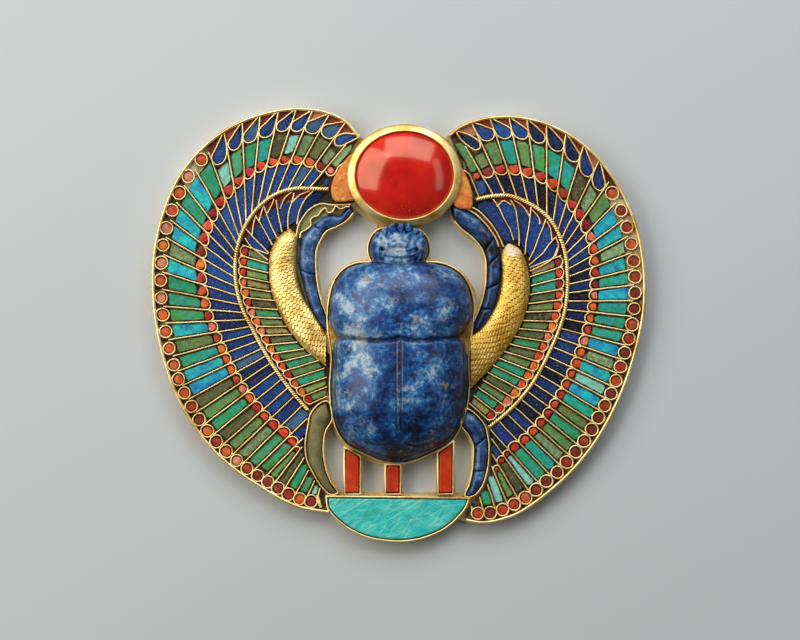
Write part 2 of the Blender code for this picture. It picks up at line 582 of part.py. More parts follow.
def wing(side):
    one = Wing(side)
    values, hand = one.values, one.right_hand
    braid_left, braid_right = (beside(one.braid, hand * d) for d in (-BRAID_WIDTH / 2, BRAID_WIDTH / 2))
    braid_area = np.vstack([beside(one.braid, -BRAID_WIDTH / 2 - GAP), beside(one.braid, BRAID_WIDTH / 2 + GAP)[::-1]])
    cuts = CENTRE_CUTS + [(False, grow(outline, GAP)) for outline in CHEEKS.values()] + [(False, braid_area)]
    inward = beside(one.rim, hand * RIM_WIDTH)
    plate(f"{side}_rim", [(True, np.vstack([one.rim, inward[::-1]]))] + cuts, FOOT, RIM_TOP, GOLD)

    rim_edge = RIM_WIDTH + GAP
    braid_edge = BRAID_WIDTH / 2 + GAP
    row_end = lambda f: np.interp(f, (DROP_COUNT + 0.4, DROP_COUNT + 0.6), (DROP_DEPTH, DOT_DEPTH))
    outer_edge = lambda f: one.spot(f, rim_edge)
    to_row = lambda extra: lambda f: one.spot(f, row_end(f) + extra)
    to_middle = lambda back: lambda f: one.spot(f, share=one.middle(f), back=back)
    to_inner = lambda f: one.spot(f, share=1.0, back=braid_edge)
    last = FEATHER_COUNT + 0.8
    half = GAP / 2
    plate(f"{side}_outer_row", [(True, one.band(FIRST, last, outer_edge, to_row(-half)))] + cuts,
          FOOT, STONE_TOP, CARNELIAN)
    plate(f"{side}_green_row", [(True, one.band(FIRST, MIDDLE_LAST, to_row(half), to_middle(MIDDLE_HALF))),
                                (True, one.band(MIDDLE_LAST, last, to_row(half), to_inner))] + cuts,
          FOOT, STONE_TOP, GREEN_STONE)
    middle_row = one.band(FIRST, MIDDLE_LAST, to_middle(MIDDLE_HALF - GAP), to_middle(-MIDDLE_HALF))
    end_cut = [(False, grow(one.band(MIDDLE_LAST - 0.001, MIDDLE_LAST + 0.001, outer_edge, to_inner, 1), GAP))]
    plate(f"{side}_middle_row", [(True, middle_row)] + end_cut + cuts, FOOT, STONE_TOP, CARNELIAN)
    plate(f"{side}_lapis_row", [(True, one.band(FIRST, MIDDLE_LAST, to_middle(-MIDDLE_HALF - GAP), to_inner))]
          + end_cut + cuts, FOOT, STONE_TOP, DARK_LAPIS)

    walls = [(True, one.band(FIRST, last, outer_edge, to_inner))]
    for number in range(0, FEATHER_COUNT):
        low, high = number - 0.5, number + 0.5
        walls.append((False, feather_cell(one, low, high, row_end(number))))
    for number in range(1, FEATHER_COUNT + 1):
        walls.append((False, drop_hole(one, number) if number <= DROP_COUNT else dot_hole(one, number)))
    plate(f"{side}_feather_walls", walls + cuts, RIB_FOOT, RIB_TOP, GOLD)

    braid_foot = FOOT
    loft(f"{side}_braid", swell(braid_left, braid_right, braid_foot, [BRAID_TOP - 0.0006] * BRAID_POINTS,
                                [BRAID_TOP] * BRAID_POINTS, BRAID_SECTION), GOLD)
    marks = np.linspace(0.03, 1, 10)
    swelling = CRESCENT_EDGE + (CRESCENT_CREST - CRESCENT_EDGE) * np.interp(marks, (0, 0.2, 0.8, 1), (0.2, 1, 1, 0.8))
    loft(f"{side}_crescent", swell(along(smooth(values["crescent_out"], 40), marks),
                                   along(smooth(values["crescent_in"], 40), marks),
                                   FOOT, [CRESCENT_EDGE] * 10, swelling, CRESCENT_SECTION), GOLD)
    inner_wing(one, cuts + CRESCENT_CUTS)


def feather_cell(one, low, high, depth):
    # the opening between two feather walls, from the dots to the braid
    a, b = one.spot(low, depth + RIB), one.spot(high, depth + RIB)
    c, d = one.spot(high, share=1.0, back=BRAID_WIDTH), one.spot(low, share=1.0, back=BRAID_WIDTH)
    return narrow(np.array([a, b, c, d]), RIB / 2)


def narrow(corners, cut):
    # a four-cornered opening, less half a wall on each long side
    a, b, c, d = corners
    start, end = (b - a) / np.hypot(*(b - a)) * cut, (c - d) / np.hypot(*(c - d)) * cut
    return np.array([a + start, b - start, c - end, d + end])


def dot_hole(one, number):
    centre_at = one.spot(number, DOT_INSET)
    turn = np.arange(4) * math.pi / 2 + np.arctan2(*(one.spot(number, share=1.0) - centre_at)[::-1])
    return centre_at + DOT_RADIUS * np.stack([np.cos(turn), np.sin(turn)], axis=1)


def drop_hole(one, number):
    # a drop, its point towards the rim on the disc's side and its round end inward
    first, last = one.values["drop_at"]
    at = first + (last - first) * (number - 1) / (DROP_COUNT - 1) - 0.004
    foot, tip = along(one.rim, at), along(one.rim, max(at - 0.016, 0.0))
    into = one.spot(number, share=1.0) - foot
    into /= np.hypot(*into)
    side = np.array([into[1], -into[0]])
    round_at = foot + into * DROP_DEPTH * 0.66
    r = DOT_RADIUS * 0.85
    return np.array([tip + into * DROP_DEPTH * 0.2, round_at - side * r, round_at + into * r * 1.6,
                     round_at + side * r])


def inner_wing(one, cuts):
    side, values = one.side, one.values
    braid_edge = lambda n: one.inner_spot(n, 1.0)
    dot_edge = lambda more: lambda n: along(np.array([one.inner_spot(n, 1.0), one.inner_spot(n, 0.0)]),
                                            (INNER_DOT_DEPTH + more) / np.hypot(*(one.inner_spot(n, 1.0) - one.inner_spot(n, 0.0))))
    foot_edge = lambda n: one.inner_spot(n, 0.0)
    last = INNER_COUNT - 0.5
    plate(f"{side}_inner_green_row", [(True, one.band(-0.5, last, foot_edge, dot_edge(GAP)))] + cuts,
          FOOT, STONE_TOP, GREEN_STONE)
    plate(f"{side}_inner_dots", [(True, one.band(-0.5, last, dot_edge(0.0), braid_edge))] + cuts,
          FOOT, STONE_TOP, CARNELIAN)
    tips, roots = place(values["tips"]), place(values["roots"])
    fan = np.vstack([tips, roots[::-1]])
    first_inner = grow(one.band(-0.5, last, foot_edge, braid_edge), GAP)
    plate(f"{side}_long_feathers", [(True, fan), (False, first_inner)] + cuts, FOOT, STONE_TOP, DARK_LAPIS)
    walls = [(True, fan), (True, one.band(-0.5, last, foot_edge, braid_edge))]
    for number in range(INNER_COUNT):
        cell = np.array([one.inner_spot(number - 0.5, 0.0), one.inner_spot(number + 0.5, 0.0),
                         one.inner_spot(number + 0.5, 0.88), one.inner_spot(number - 0.5, 0.88)])
        walls.append((False, narrow(cell, RIB / 2)))
    for number in range(len(tips) - 1):
        cell = np.array([tips[number], tips[number + 1], roots[number + 1], roots[number]])
        walls.append((False, narrow(cell, RIB / 2)))
    plate(f"{side}_inner_walls", walls + cuts, RIB_FOOT, RIB_TOP, GOLD)


def base():
    centre_line = place([BASE_MIDDLE[0]])[0], place([BASE_MIDDLE[1]])[0]
    steps = []
    for side in WINGS:
        rim = smooth(WINGS[side]["rim"], RIM_POINTS)
        steps.append((True, np.vstack([rim, [centre_line[1]], [centre_line[0]]])))
    steps += [(False, place(opening)) for opening in OPENINGS]
    steps += [(True, grow(cell, WALL + GAP)) for cell in CELLS]
    steps += [(True, RING), (True, SCARAB)]
    plate("base_plate", steps, 0.0, PLATE_TOP, GOLD)


BASE_MIDDLE = [(0.3, 30.4), (0.3, -37.4)]


def build():
    for old in list(bpy.data.objects):
        bpy.data.objects.remove(old, do_unlink=True)
    base()
    disc()
    scarab()
    centre()
    for side in WINGS:
        wing(side)


build()
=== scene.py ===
import math
import random

import bmesh
import bpy
import numpy as np
from mathutils import Matrix, Vector, noise


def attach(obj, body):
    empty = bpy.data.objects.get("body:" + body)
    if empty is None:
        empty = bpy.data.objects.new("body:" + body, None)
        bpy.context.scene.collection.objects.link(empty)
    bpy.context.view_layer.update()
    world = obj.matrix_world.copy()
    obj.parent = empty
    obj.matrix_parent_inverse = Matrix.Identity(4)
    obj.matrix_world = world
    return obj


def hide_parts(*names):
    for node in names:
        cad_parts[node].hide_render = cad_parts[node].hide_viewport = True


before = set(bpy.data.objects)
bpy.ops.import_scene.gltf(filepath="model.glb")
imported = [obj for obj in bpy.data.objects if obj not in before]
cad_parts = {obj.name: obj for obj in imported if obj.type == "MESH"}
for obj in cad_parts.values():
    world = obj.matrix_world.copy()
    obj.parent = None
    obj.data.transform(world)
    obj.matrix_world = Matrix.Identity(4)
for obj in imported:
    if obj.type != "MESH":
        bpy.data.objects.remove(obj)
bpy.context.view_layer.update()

# Winged scarab pectoral, front up. Outlines are in hundredths of the whole width, heights in metres.
span = 0.105
mm = 0.001
plateTop = 1.12 * mm      # walls and large stones start just over the gold plate
stoneFoot = 1.2 * mm
bedFoot = 0.95 * mm      # the cement reaches a little into the plate, so no gap shows


# curves in the plane

def place(points):
    return np.array(points, float) * span / 100


def reachAlong(line):      # how far each point lies from the start
    return np.concatenate([[0], np.cumsum(np.hypot(*np.diff(line, axis=0).T))])

def curveThrough(points, count, closed=False):
    known = np.vstack([points[-1:], points, points[:2]]) if closed else points
    reach = reachAlong(known)
    slope = np.gradient(known, reach, axis=0)
    first, last = (reach[1], reach[-2]) if closed else (reach[0], reach[-1])
    at = np.linspace(first, last, count, endpoint=not closed)
    i = np.clip(np.searchsorted(reach, at, side="right") - 1, 0, len(known) - 2)
    gap = (reach[i + 1] - reach[i])[:, None]
    u = ((at - reach[i]) / gap[:, 0])[:, None]
    return ((2 * u**3 - 3 * u**2 + 1) * known[i] + (u**3 - 2 * u**2 + u) * gap * slope[i]
            + (3 * u**2 - 2 * u**3) * known[i + 1] + (u**3 - u**2) * gap * slope[i + 1])


def smooth(points, count, closed=False):
    return curveThrough(place(points), count, closed)


def along(line, share):
    reach = reachAlong(line)
    at = np.clip(share, 0, 1) * reach[-1]
    return np.stack([np.interp(at, reach, line[:, 0]), np.interp(at, reach, line[:, 1])], axis=-1)


def lengthOf(line):
    return float(np.hypot(*np.diff(line, axis=0).T).sum())


def apart(a, b):
    return float(np.hypot(*(a - b)))

def unit(step):
    return step / np.hypot(*step)

def beside(line, distance):      # to the right of the line's direction
    run = np.gradient(line, axis=0)
    run /= np.hypot(*run.T)[:, None]
    return line + distance * np.stack([run[:, 1], -run[:, 0]], axis=1)


def signedArea(outline):
    x, y = outline.T
    return 0.5 * np.sum(x * np.roll(y, -1) - np.roll(x, -1) * y)


def grow(outline, distance):
    run = np.roll(outline, -1, axis=0) - outline
    run /= np.maximum(np.hypot(*run.T), 1e-9)[:, None]
    out = np.sign(signedArea(outline)) * np.stack([run[:, 1], -run[:, 0]], axis=1)
    corner = out + np.roll(out, 1, axis=0)
    return outline + distance * 2 * corner / np.maximum((corner**2).sum(axis=1), 0.9)[:, None]


def oval(centre, radii, count, rng=None, wobble=0.0):
    turn = np.arange(count) * 2 * math.pi / count
    stretch = np.ones(count)
    if rng:      # a hand-ground round: a few low waves
        for wave in (2, 3, 5):
            stretch += wobble / wave * rng.uniform(-1, 1) * np.cos(wave * turn + rng.uniform(0, 6.28))
    return np.array(centre) + np.stack([radii[0] * np.cos(turn), radii[1] * np.sin(turn)],
                                       axis=1) * stretch[:, None]


# materials

def hexColour(text):
    levels = [int(text[i:i + 2], 16) / 255 for i in (0, 2, 4)]
    return (*[v / 12.92 if v < 0.04045 else ((v + 0.055) / 1.055) ** 2.4 for v in levels], 1)


def feed(tree, node, inputs):
    # a socket is linked, a node stands for its first output, anything else is a plain value
    for name, value in inputs.items():
        if isinstance(value, bpy.types.Node):
            value = value.outputs[0]
        if isinstance(value, bpy.types.NodeSocket):
            tree.links.new(value, node.inputs[name])
        else:
            node.inputs[name].default_value = value

def addNode(tree, kind, inputs=None, stops=None, **settings):
    made = tree.nodes.new("ShaderNode" + kind)
    for name, value in settings.items():
        setattr(made, name, value)
    feed(tree, made, inputs or {})
    for number, (spot, colour) in enumerate(stops or ()):
        element = made.color_ramp.elements[number] if number < 2 else made.color_ramp.elements.new(spot)
        element.position = spot
        element.color = hexColour(colour)
    return made


def newMaterial(name, sockets):
    made = bpy.data.materials.new(name)
    made.use_nodes = True
    tree = made.node_tree
    shader = tree.nodes["Principled BSDF"]
    feed(tree, shader, sockets)
    spot = addNode(tree, "TexCoord")
    inMm = addNode(tree, "Mapping", {"Vector": spot.outputs["Object"], "Scale": (1000, 1000, 1000)})
    return made, tree, shader, inMm


def goldFinish(name, look):
    # high-carat gold, hammered and burnished by hand: warm reflections, reddish films, fine scratches
    made, tree, shader, point = newMaterial(name, {"Metallic": 1.0})
    film = addNode(tree, "TexNoise", {"Vector": point, "Scale": 1 / look["filmMm"], "Detail": 4.0,
                                      "Roughness": 0.6})
    colour = addNode(tree, "ValToRGB", {"Fac": film}, stops=look["colours"])
    last = colour
    if "crust" in look:      # a limy crust left on the metal at one spot
        (x, y), reach, tone = look["crust"]
        away = addNode(tree, "VectorMath", {0: point, 1: (x, y, 3.6)}, operation="DISTANCE")
        edge = addNode(tree, "Math", {0: film, 1: -reach, 2: away.outputs["Value"]},
                       operation="MULTIPLY_ADD")
        cover = addNode(tree, "MapRange", {"Value": edge, 1: reach * 0.2, 2: reach * 0.7, 3: 0.9, 4: 0.0})
        last = addNode(tree, "Mix", {0: cover, 6: last, 7: hexColour(tone)},
                       data_type="RGBA").outputs[2]
        bare = addNode(tree, "Math", {0: 1.0, 1: cover}, operation="SUBTRACT")
        feed(tree, shader, {"Metallic": bare})
    feed(tree, shader, {"Base Color": last})
    brushed = addNode(tree, "Mapping", {"Vector": point, "Scale": (1.0, 1 / look["stretch"], 1.0),
                                        "Rotation": (0, 0, 0.6)}, vector_type="TEXTURE")
    scratch = addNode(tree, "TexNoise", {"Vector": brushed, "Scale": 1 / look["scratchMm"],
                                         "Detail": 3.0})
    rough = addNode(tree, "MapRange", {"Value": scratch, 1: 0.3, 2: 0.7,
                                       3: look["roughness"][0], 4: look["roughness"][1]})
    feed(tree, shader, {"Roughness": rough})
    dent = addNode(tree, "TexNoise", {"Vector": point, "Scale": 1 / look["dentMm"], "Detail": 2.0})
    both = addNode(tree, "Math", {0: scratch, 1: 0.25, 2: dent},
                   operation="MULTIPLY_ADD")
    bump = addNode(tree, "Bump", {"Height": both, "Strength": look["bump"], "Distance": 0.0001})
    feed(tree, shader, {"Normal": bump})
    return made


def inlayFinish(name, look):
    # cut stone or paste set in cement. The tint attribute holds each stone's colour, its alpha how far
    # it has decayed
    made, tree, shader, point = newMaterial(name,
                                            {"IOR": look["ior"], "Specular IOR Level": look["shine"]})
    tint = addNode(tree, "Attribute", attribute_name="tint")
    cloud = addNode(tree, "TexNoise", {"Vector": point, "Scale": 1 / look["cloudMm"], "Detail": 4.0,
                                       "Roughness": 0.65})
    shade = addNode(tree, "MapRange", {"Value": cloud, 1: 0.3, 2: 0.72,
                                       3: look["shade"][0], 4: look["shade"][1]})
    body = addNode(tree, "VectorMath", {0: tint, "Scale": shade},
                   operation="SCALE")
    slow = addNode(tree, "TexNoise", {"Vector": point, "Scale": 1 / 2.4, "Detail": 2.0})
    turn = addNode(tree, "MapRange", {"Value": slow, 1: 0.3, 2: 0.7, 3: 0.5 - look["hueWander"],
                                      4: 0.5 + look["hueWander"]})
    body = addNode(tree, "HueSaturation", {"Hue": turn, "Color": body})
    speck = addNode(tree, "TexNoise", {"Vector": point, "Scale": 1 / look["speckMm"], "Detail": 5.0,
                                       "Roughness": 0.7})
    specks = addNode(tree, "MapRange", {"Value": speck, 1: look["speckFrom"],
                                        2: look["speckFrom"] + 0.09})
    speckled = addNode(tree, "Mix", {0: specks, 6: body,
                                     7: hexColour(look["speckColour"])}, data_type="RGBA")
    rot = addNode(tree, "TexNoise", {"Vector": point, "Scale": 1 / 0.8, "Detail": 5.0, "Roughness": 0.75})
    level = addNode(tree, "Math", {0: tint.outputs["Alpha"], 1: rot}, operation="ADD")
    decayed = addNode(tree, "MapRange", {"Value": level, 1: 0.87, 2: 1.1})
    stain = addNode(tree, "ValToRGB", {"Fac": rot}, stops=look["stain"])
    final = addNode(tree, "Mix", {0: decayed, 6: speckled.outputs[2], 7: stain},
                    data_type="RGBA")
    feed(tree, shader, {"Base Color": final.outputs[2]})
    worn = addNode(tree, "Math", {0: decayed, 1: 0.35, 2: shade},
                   operation="MULTIPLY_ADD")
    rough = addNode(tree, "MapRange", {"Value": worn, 1: look["shade"][0], 2: look["shade"][1] + 0.35,
                                       3: look["roughness"], 4: 0.8})
    feed(tree, shader, {"Roughness": rough})
    pits = addNode(tree, "Math", {0: decayed, 1: rot, 2: cloud},
                   operation="MULTIPLY_ADD")
    bump = addNode(tree, "Bump", {"Height": pits, "Strength": look["bump"], "Distance": 0.00025})
    feed(tree, shader, {"Normal": bump})
    return made


goldColours = [(0.3, "D0A75A"), (0.48, "EFD79A"), (0.7, "F6E7BC")]
wallGold = goldFinish("burnishedWallGold", {
    "colours": goldColours, "filmMm": 5, "stretch": 0.3, "scratchMm": 0.3, "roughness": (0.36, 0.5),
    "dentMm": 1.6, "bump": 0.18})
collarGold = goldFinish("brushedCollarGold", {
    "colours": [(0.32, "C69A3E"), (0.5, "EFD48A"), (0.72, "FAECC0")], "filmMm": 4, "stretch": 0.12,
    "scratchMm": 0.22, "roughness": (0.34, 0.5), "dentMm": 2.5, "bump": 0.3})
chasedLook = {"filmMm": 4, "stretch": 0.5, "scratchMm": 0.25, "roughness": (0.38, 0.52), "dentMm": 0.8,
              "bump": 0.3}
chasedGold = {
    "left": goldFinish("chasedPaleGold", {
        **chasedLook, "colours": [(0.3, "B0904A"), (0.5, "DABC70"), (0.7, "EED898")]}),
    "right": goldFinish("chasedSheetGold", {
        **chasedLook, "colours": [(0.3, "AE8434"), (0.5, "D4AC52"), (0.7, "E6C674")],
        "crust": ((24.4, 16.3), 2.0, "D2C6AC")})}
fillGold = goldFinish("hammeredFillGold", {
    "colours": [(0.35, "8E6A28"), (0.5, "C49646"), (0.65, "DEB864")], "filmMm": 2, "stretch": 0.4,
    "scratchMm": 0.3, "roughness": (0.5, 0.66), "dentMm": 0.7, "bump": 1.0})
plateGold = goldFinish("plainPlateGold", {
    "colours": goldColours, "filmMm": 9, "stretch": 0.2, "scratchMm": 0.4, "roughness": (0.3, 0.5),
    "dentMm": 3.5, "bump": 0.5})

rotStain = [(0.35, "12100A"), (0.5, "38361C"), (0.62, "6C6A3C")]
stainDark = [(0.35, "0B0A0C"), (0.5, "1C1B22"), (0.65, "4A4638")]
turquoiseInlay = inlayFinish("turquoiseAndGreenStone", {
    "shine": 0.3, "ior": 1.6, "hueWander": 0.055, "cloudMm": 1.0, "shade": (0.6, 1.22), "speckMm": 0.5,
    "speckFrom": 0.63, "speckColour": "2B3418", "stain": rotStain, "roughness": 0.42, "bump": 0.35})
lapisInlay = inlayFinish("lapisSlipStone", {
    "shine": 0.28, "ior": 1.5, "hueWander": 0.008, "cloudMm": 0.8, "shade": (0.7, 1.25), "speckMm": 0.34,
    "speckFrom": 0.6, "speckColour": "8298C0", "stain": stainDark, "roughness": 0.34, "bump": 0.25})
carnelianInlay = inlayFinish("carnelianDotStone", {
    "shine": 0.4, "ior": 1.54, "hueWander": 0.012, "cloudMm": 0.9, "shade": (0.6, 1.35), "speckMm": 0.4,
    "speckFrom": 0.68, "speckColour": "5A160C", "stain": stainDark, "roughness": 0.26, "bump": 0.25})
fillerInlay = inlayFinish("redBrownFillerPaste", {
    "shine": 0.3, "ior": 1.5, "hueWander": 0.008, "cloudMm": 0.7, "shade": (0.7, 1.2), "speckMm": 0.35,
    "speckFrom": 0.64, "speckColour": "B98D6A", "stain": stainDark, "roughness": 0.6, "bump": 0.5})
barInlay = inlayFinish("redBarStone", {
    "shine": 0.25, "ior": 1.54, "hueWander": 0.006, "cloudMm": 1.8, "shade": (0.8, 1.25), "speckMm": 0.5,
    "speckFrom": 0.7, "speckColour": "7A1A0C", "stain": stainDark, "roughness": 0.3, "bump": 0.3})
cheekInlay = inlayFinish("orangeCheekStone", {
    "shine": 0.3, "ior": 1.54, "hueWander": 0.02, "cloudMm": 1.2, "shade": (0.62, 1.22), "speckMm": 1.7,
    "speckFrom": 0.55, "speckColour": "DE9C58", "stain": stainDark, "roughness": 0.55, "bump": 0.9})
pasteInlay = inlayFinish("oliveDecayedPaste", {
    "shine": 0.3, "ior": 1.5, "hueWander": 0.01, "cloudMm": 2.2, "shade": (0.6, 1.25), "speckMm": 0.6,
    "speckFrom": 0.62, "speckColour": "A39C78", "stain": rotStain, "roughness": 0.6, "bump": 0.6})


def cementFinish(name, look):
    # resin and ground-stone cement, aged nearly black, with pale limy spots
    made, tree, shader, point = newMaterial(name, {"Roughness": 0.85})
    grit = addNode(tree, "TexNoise", {"Vector": point, "Scale": 1 / look["gritMm"], "Detail": 6.0,
                                      "Roughness": 0.75})
    colour = addNode(tree, "ValToRGB", {"Fac": grit}, stops=look["colours"])
    pale = addNode(tree, "TexNoise", {"Vector": point, "Scale": 1 / look["paleMm"], "Detail": 2.0})
    reach = addNode(tree, "MapRange", {"Value": pale, 1: look["paleFrom"], 2: look["paleFrom"] + 0.08})
    mixed = addNode(tree, "Mix", {0: reach, 6: colour,
                                  7: hexColour(look["pale"])}, data_type="RGBA")
    feed(tree, shader, {"Base Color": mixed.outputs[2]})
    bump = addNode(tree, "Bump", {"Height": grit, "Strength": 0.8, "Distance": 0.0003})
    feed(tree, shader, {"Normal": bump})
    return made


darkCement = cementFinish("agedCement", {"gritMm": 0.4, "paleMm": 4, "paleFrom": 0.62, "pale": "8F8264",
                                         "colours": [(0.35, "0E0B08"), (0.55, "2A2117"),
                                                     (0.7, "5A4C36")]})
mottledCement = cementFinish("brownCement", {"gritMm": 0.5, "paleMm": 1.6, "paleFrom": 0.6,
                                             "pale": "8C7E58",
                                             "colours": [(0.36, "15100A"), (0.52, "43371F"),
                                                         (0.68, "6E6238")]})
paleCement = cementFinish("limyCement", {"gritMm": 0.4, "paleMm": 3, "paleFrom": 0.45, "pale": "B7AB8C",
                                         "colours": [(0.3, "3A3226"), (0.5, "8C8168"), (0.7, "C9BFA2")]})


# making pieces

def addPiece(name, mesh, material, nodes=()):
    mesh.name = name
    if material and not mesh.materials:
        mesh.materials.append(material)
    made = bpy.data.objects.new(name, mesh)
    bpy.context.scene.collection.objects.link(made)
    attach(made, "root")
    if nodes:
        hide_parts(*nodes)
    return made


def toMesh(shape, name):
    bmesh.ops.recalc_face_normals(shape, faces=shape.faces)
    mesh = bpy.data.meshes.new(name)
    shape.to_mesh(mesh)
    shape.free()
    return mesh


def drift(point, size, amount, seed=0.0):
    # a slow wander, as hand work has, from noise.noise because noise_vector differs from run to run
    spot = Vector((point[0] / size, point[1] / size, seed))
    return Vector([noise.noise(spot + Vector((0, 0, 10.0 * axis))) for axis in range(3)]) * amount


def addLine(curve, points, shut=False):
    spline = curve.splines.new("POLY")
    spline.points.add(len(points) - 1)
    for point, spot in zip(spline.points, points):
        point.co = (*spot, 1)
    spline.use_cyclic_u = shut

def curveToMesh(curve):
    curve.bevel_resolution = 1
    curve.use_fill_caps = True
    holder = bpy.data.objects.new(curve.name, curve)
    bpy.context.scene.collection.objects.link(holder)
    mesh = bpy.data.meshes.new_from_object(holder.evaluated_get(bpy.context.evaluated_depsgraph_get()))
    bpy.data.objects.remove(holder)
    bpy.data.curves.remove(curve)
    mesh.shade_smooth()
    return mesh

def wires(lines, width, low, high, sway=0.09 * mm):
    # gold strips stood on edge: flat curves, given height by extrusion and rounded tops by their bevel
    curve = bpy.data.curves.new("wallLines", "CURVE")
    curve.dimensions = "2D"
    curve.fill_mode = "NONE"
    curve.extrude = (high - low - width) / 2
    curve.bevel_depth = width / 2
    for line, shut in lines:
        addLine(curve, [(x, y, 0) for x, y in line], shut)
    mesh = curveToMesh(curve)
    mesh.transform(Matrix.Translation((0, 0, (low + high) / 2)))
    for vert in mesh.vertices:
        move = drift(vert.co, 0.0022, sway, 3.0)
        lift = 0.8 * move.z if vert.co.z > (low + high) / 2 else 0
        vert.co += Vector((move.x, move.y, min(lift, 0.3 * sway)))
    return mesh


def worn(outline, rng, look):
    # corners knocked off and edges a little uneven
    points, count = [], len(outline)
    for i in range(count):
        here = outline[i]
        ends = [outline[i - 1] - here, outline[(i + 1) % count] - here]
        sizes = [max(float(np.hypot(*end)), 1e-9) for end in ends]
        cut = [min(look["corner"] * rng.uniform(0.5, 1.5), size * 0.3) for size in sizes]
        points += [here + ends[0] / sizes[0] * cut[0], here + ends[1] / sizes[1] * cut[1]]
        extra = int(sizes[1] / look["step"])
        for k in range(1, extra):
            points.append(here + ends[1] * k / extra)
    wobble = look["wobble"]
    return np.array([p + (rng.gauss(0, wobble), rng.gauss(0, wobble)) for p in points])


def layFloors(shape, outlines, height):
    # a face for each outline, all turned the same way round
    rings = [outline if signedArea(outline) > 0 else outline[::-1] for outline in outlines]
    return [shape.faces.new([shape.verts.new((x, y, height)) for x, y in ring]) for ring in rings]

def setStones(name, outlines, tints, look, material, nodes=()):
    # a row of stones: every outline is a face, extruded up, its top edge rounded by insets
    rng = random.Random(look["seed"])
    shape = bmesh.new()
    paint = shape.loops.layers.float_color.new("tint")
    floors = layFloors(shape, outlines, look["foot"])
    shape.normal_update()
    raised = bmesh.ops.extrude_face_region(shape, geom=floors, use_keep_orig=True)["geom"]
    caps = [part for part in raised if isinstance(part, bmesh.types.BMFace)]
    shoulder = look["shoulder"]
    bmesh.ops.translate(shape, verts=list({v for face in caps for v in face.verts}),
                        vec=(0, 0, look["top"] - look["foot"] - shoulder))
    for across, rise in ((0.134, 0.5), (0.366, 0.366), (0.5, 0.134)):
        bmesh.ops.inset_individual(shape, faces=caps, thickness=across * shoulder, depth=rise * shoulder)
    for share in look.get("dome", ()):
        bmesh.ops.inset_individual(shape, faces=caps, thickness=share[0], depth=share[1])
    if look.get("dome"):
        bmesh.ops.poke(shape, faces=caps, offset=look["dome"][-1][1] * 0.4)
    for floor, tint in zip(floors, tints):
        stone, queue = {floor}, [floor]
        while queue:
            for edge in queue.pop().edges:
                for other in edge.link_faces:
                    if other not in stone:
                        stone.add(other)
                        queue.append(other)
        middle = floor.calc_center_median()
        lift = rng.uniform(-1, 0.4) * look["uneven"] - tint[3] * look["sink"]
        slopes = [rng.gauss(0, look["tilt"]) for _ in range(2)]
        for vert in {v for face in stone for v in face.verts}:
            if vert.co.z > look["foot"] + 1e-6:
                offX, offY = vert.co.x - middle.x, vert.co.y - middle.y
                vert.co.z += lift + slopes[0] * offX + slopes[1] * offY
        for face in stone:
            flatTop = abs(face.normal.z) > 0.97
            face.smooth = bool(look.get("dome")) or not flatTop
            edge = 0 if flatTop else look.get("edgeDecay", 0)
            for loop in face.loops:
                loop[paint] = (*tint[:3], tint[3] + edge)
    return addPiece(name, toMesh(shape, name), material, nodes)


def slabOf(name, outlines, low, high, material, nodes=()):
    # flat beds of cement or sheet
    shape = bmesh.new()
    floors = layFloors(shape, outlines, low)
    raised = bmesh.ops.extrude_face_region(shape, geom=floors, use_keep_orig=True)["geom"]
    bmesh.ops.translate(shape, verts=[v for v in raised if isinstance(v, bmesh.types.BMVert)],
                        vec=(0, 0, high - low))
    return addPiece(name, toMesh(shape, name), material, nodes)


def closeBelow(shape, foot):
    # walls from the open edge down to the foot, and a floor
    edges = [edge for edge in shape.edges if edge.is_boundary]
    for part in bmesh.ops.extrude_edge_only(shape, edges=edges)["geom"]:
        if isinstance(part, bmesh.types.BMVert):
            part.co.z = foot
    bmesh.ops.holes_fill(shape, edges=[edge for edge in shape.edges if edge.is_boundary])
    for face in shape.faces:
        face.smooth = True

def domedGrid(sideA, sideB, across, lengthwise, foot, heightAt):
    # a grid laid between two side lines, raised by a height function, with walls down to its foot
    # and a floor
    shape = bmesh.new()
    bmesh.ops.create_grid(shape, x_segments=across, y_segments=lengthwise, size=0.5)
    verts = list(shape.verts)
    spots = np.array([v.co[:2] for v in verts]) + 0.5
    u, v = spots.T
    a, b = along(sideA, v), along(sideB, v)
    flat = a + (b - a) * u[:, None]
    heights = heightAt(u, v, flat)
    for vert, (x, y), z in zip(verts, flat, heights):
        vert.co = (x, y, z)
    closeBelow(shape, foot)
    return shape


# where the feathers run

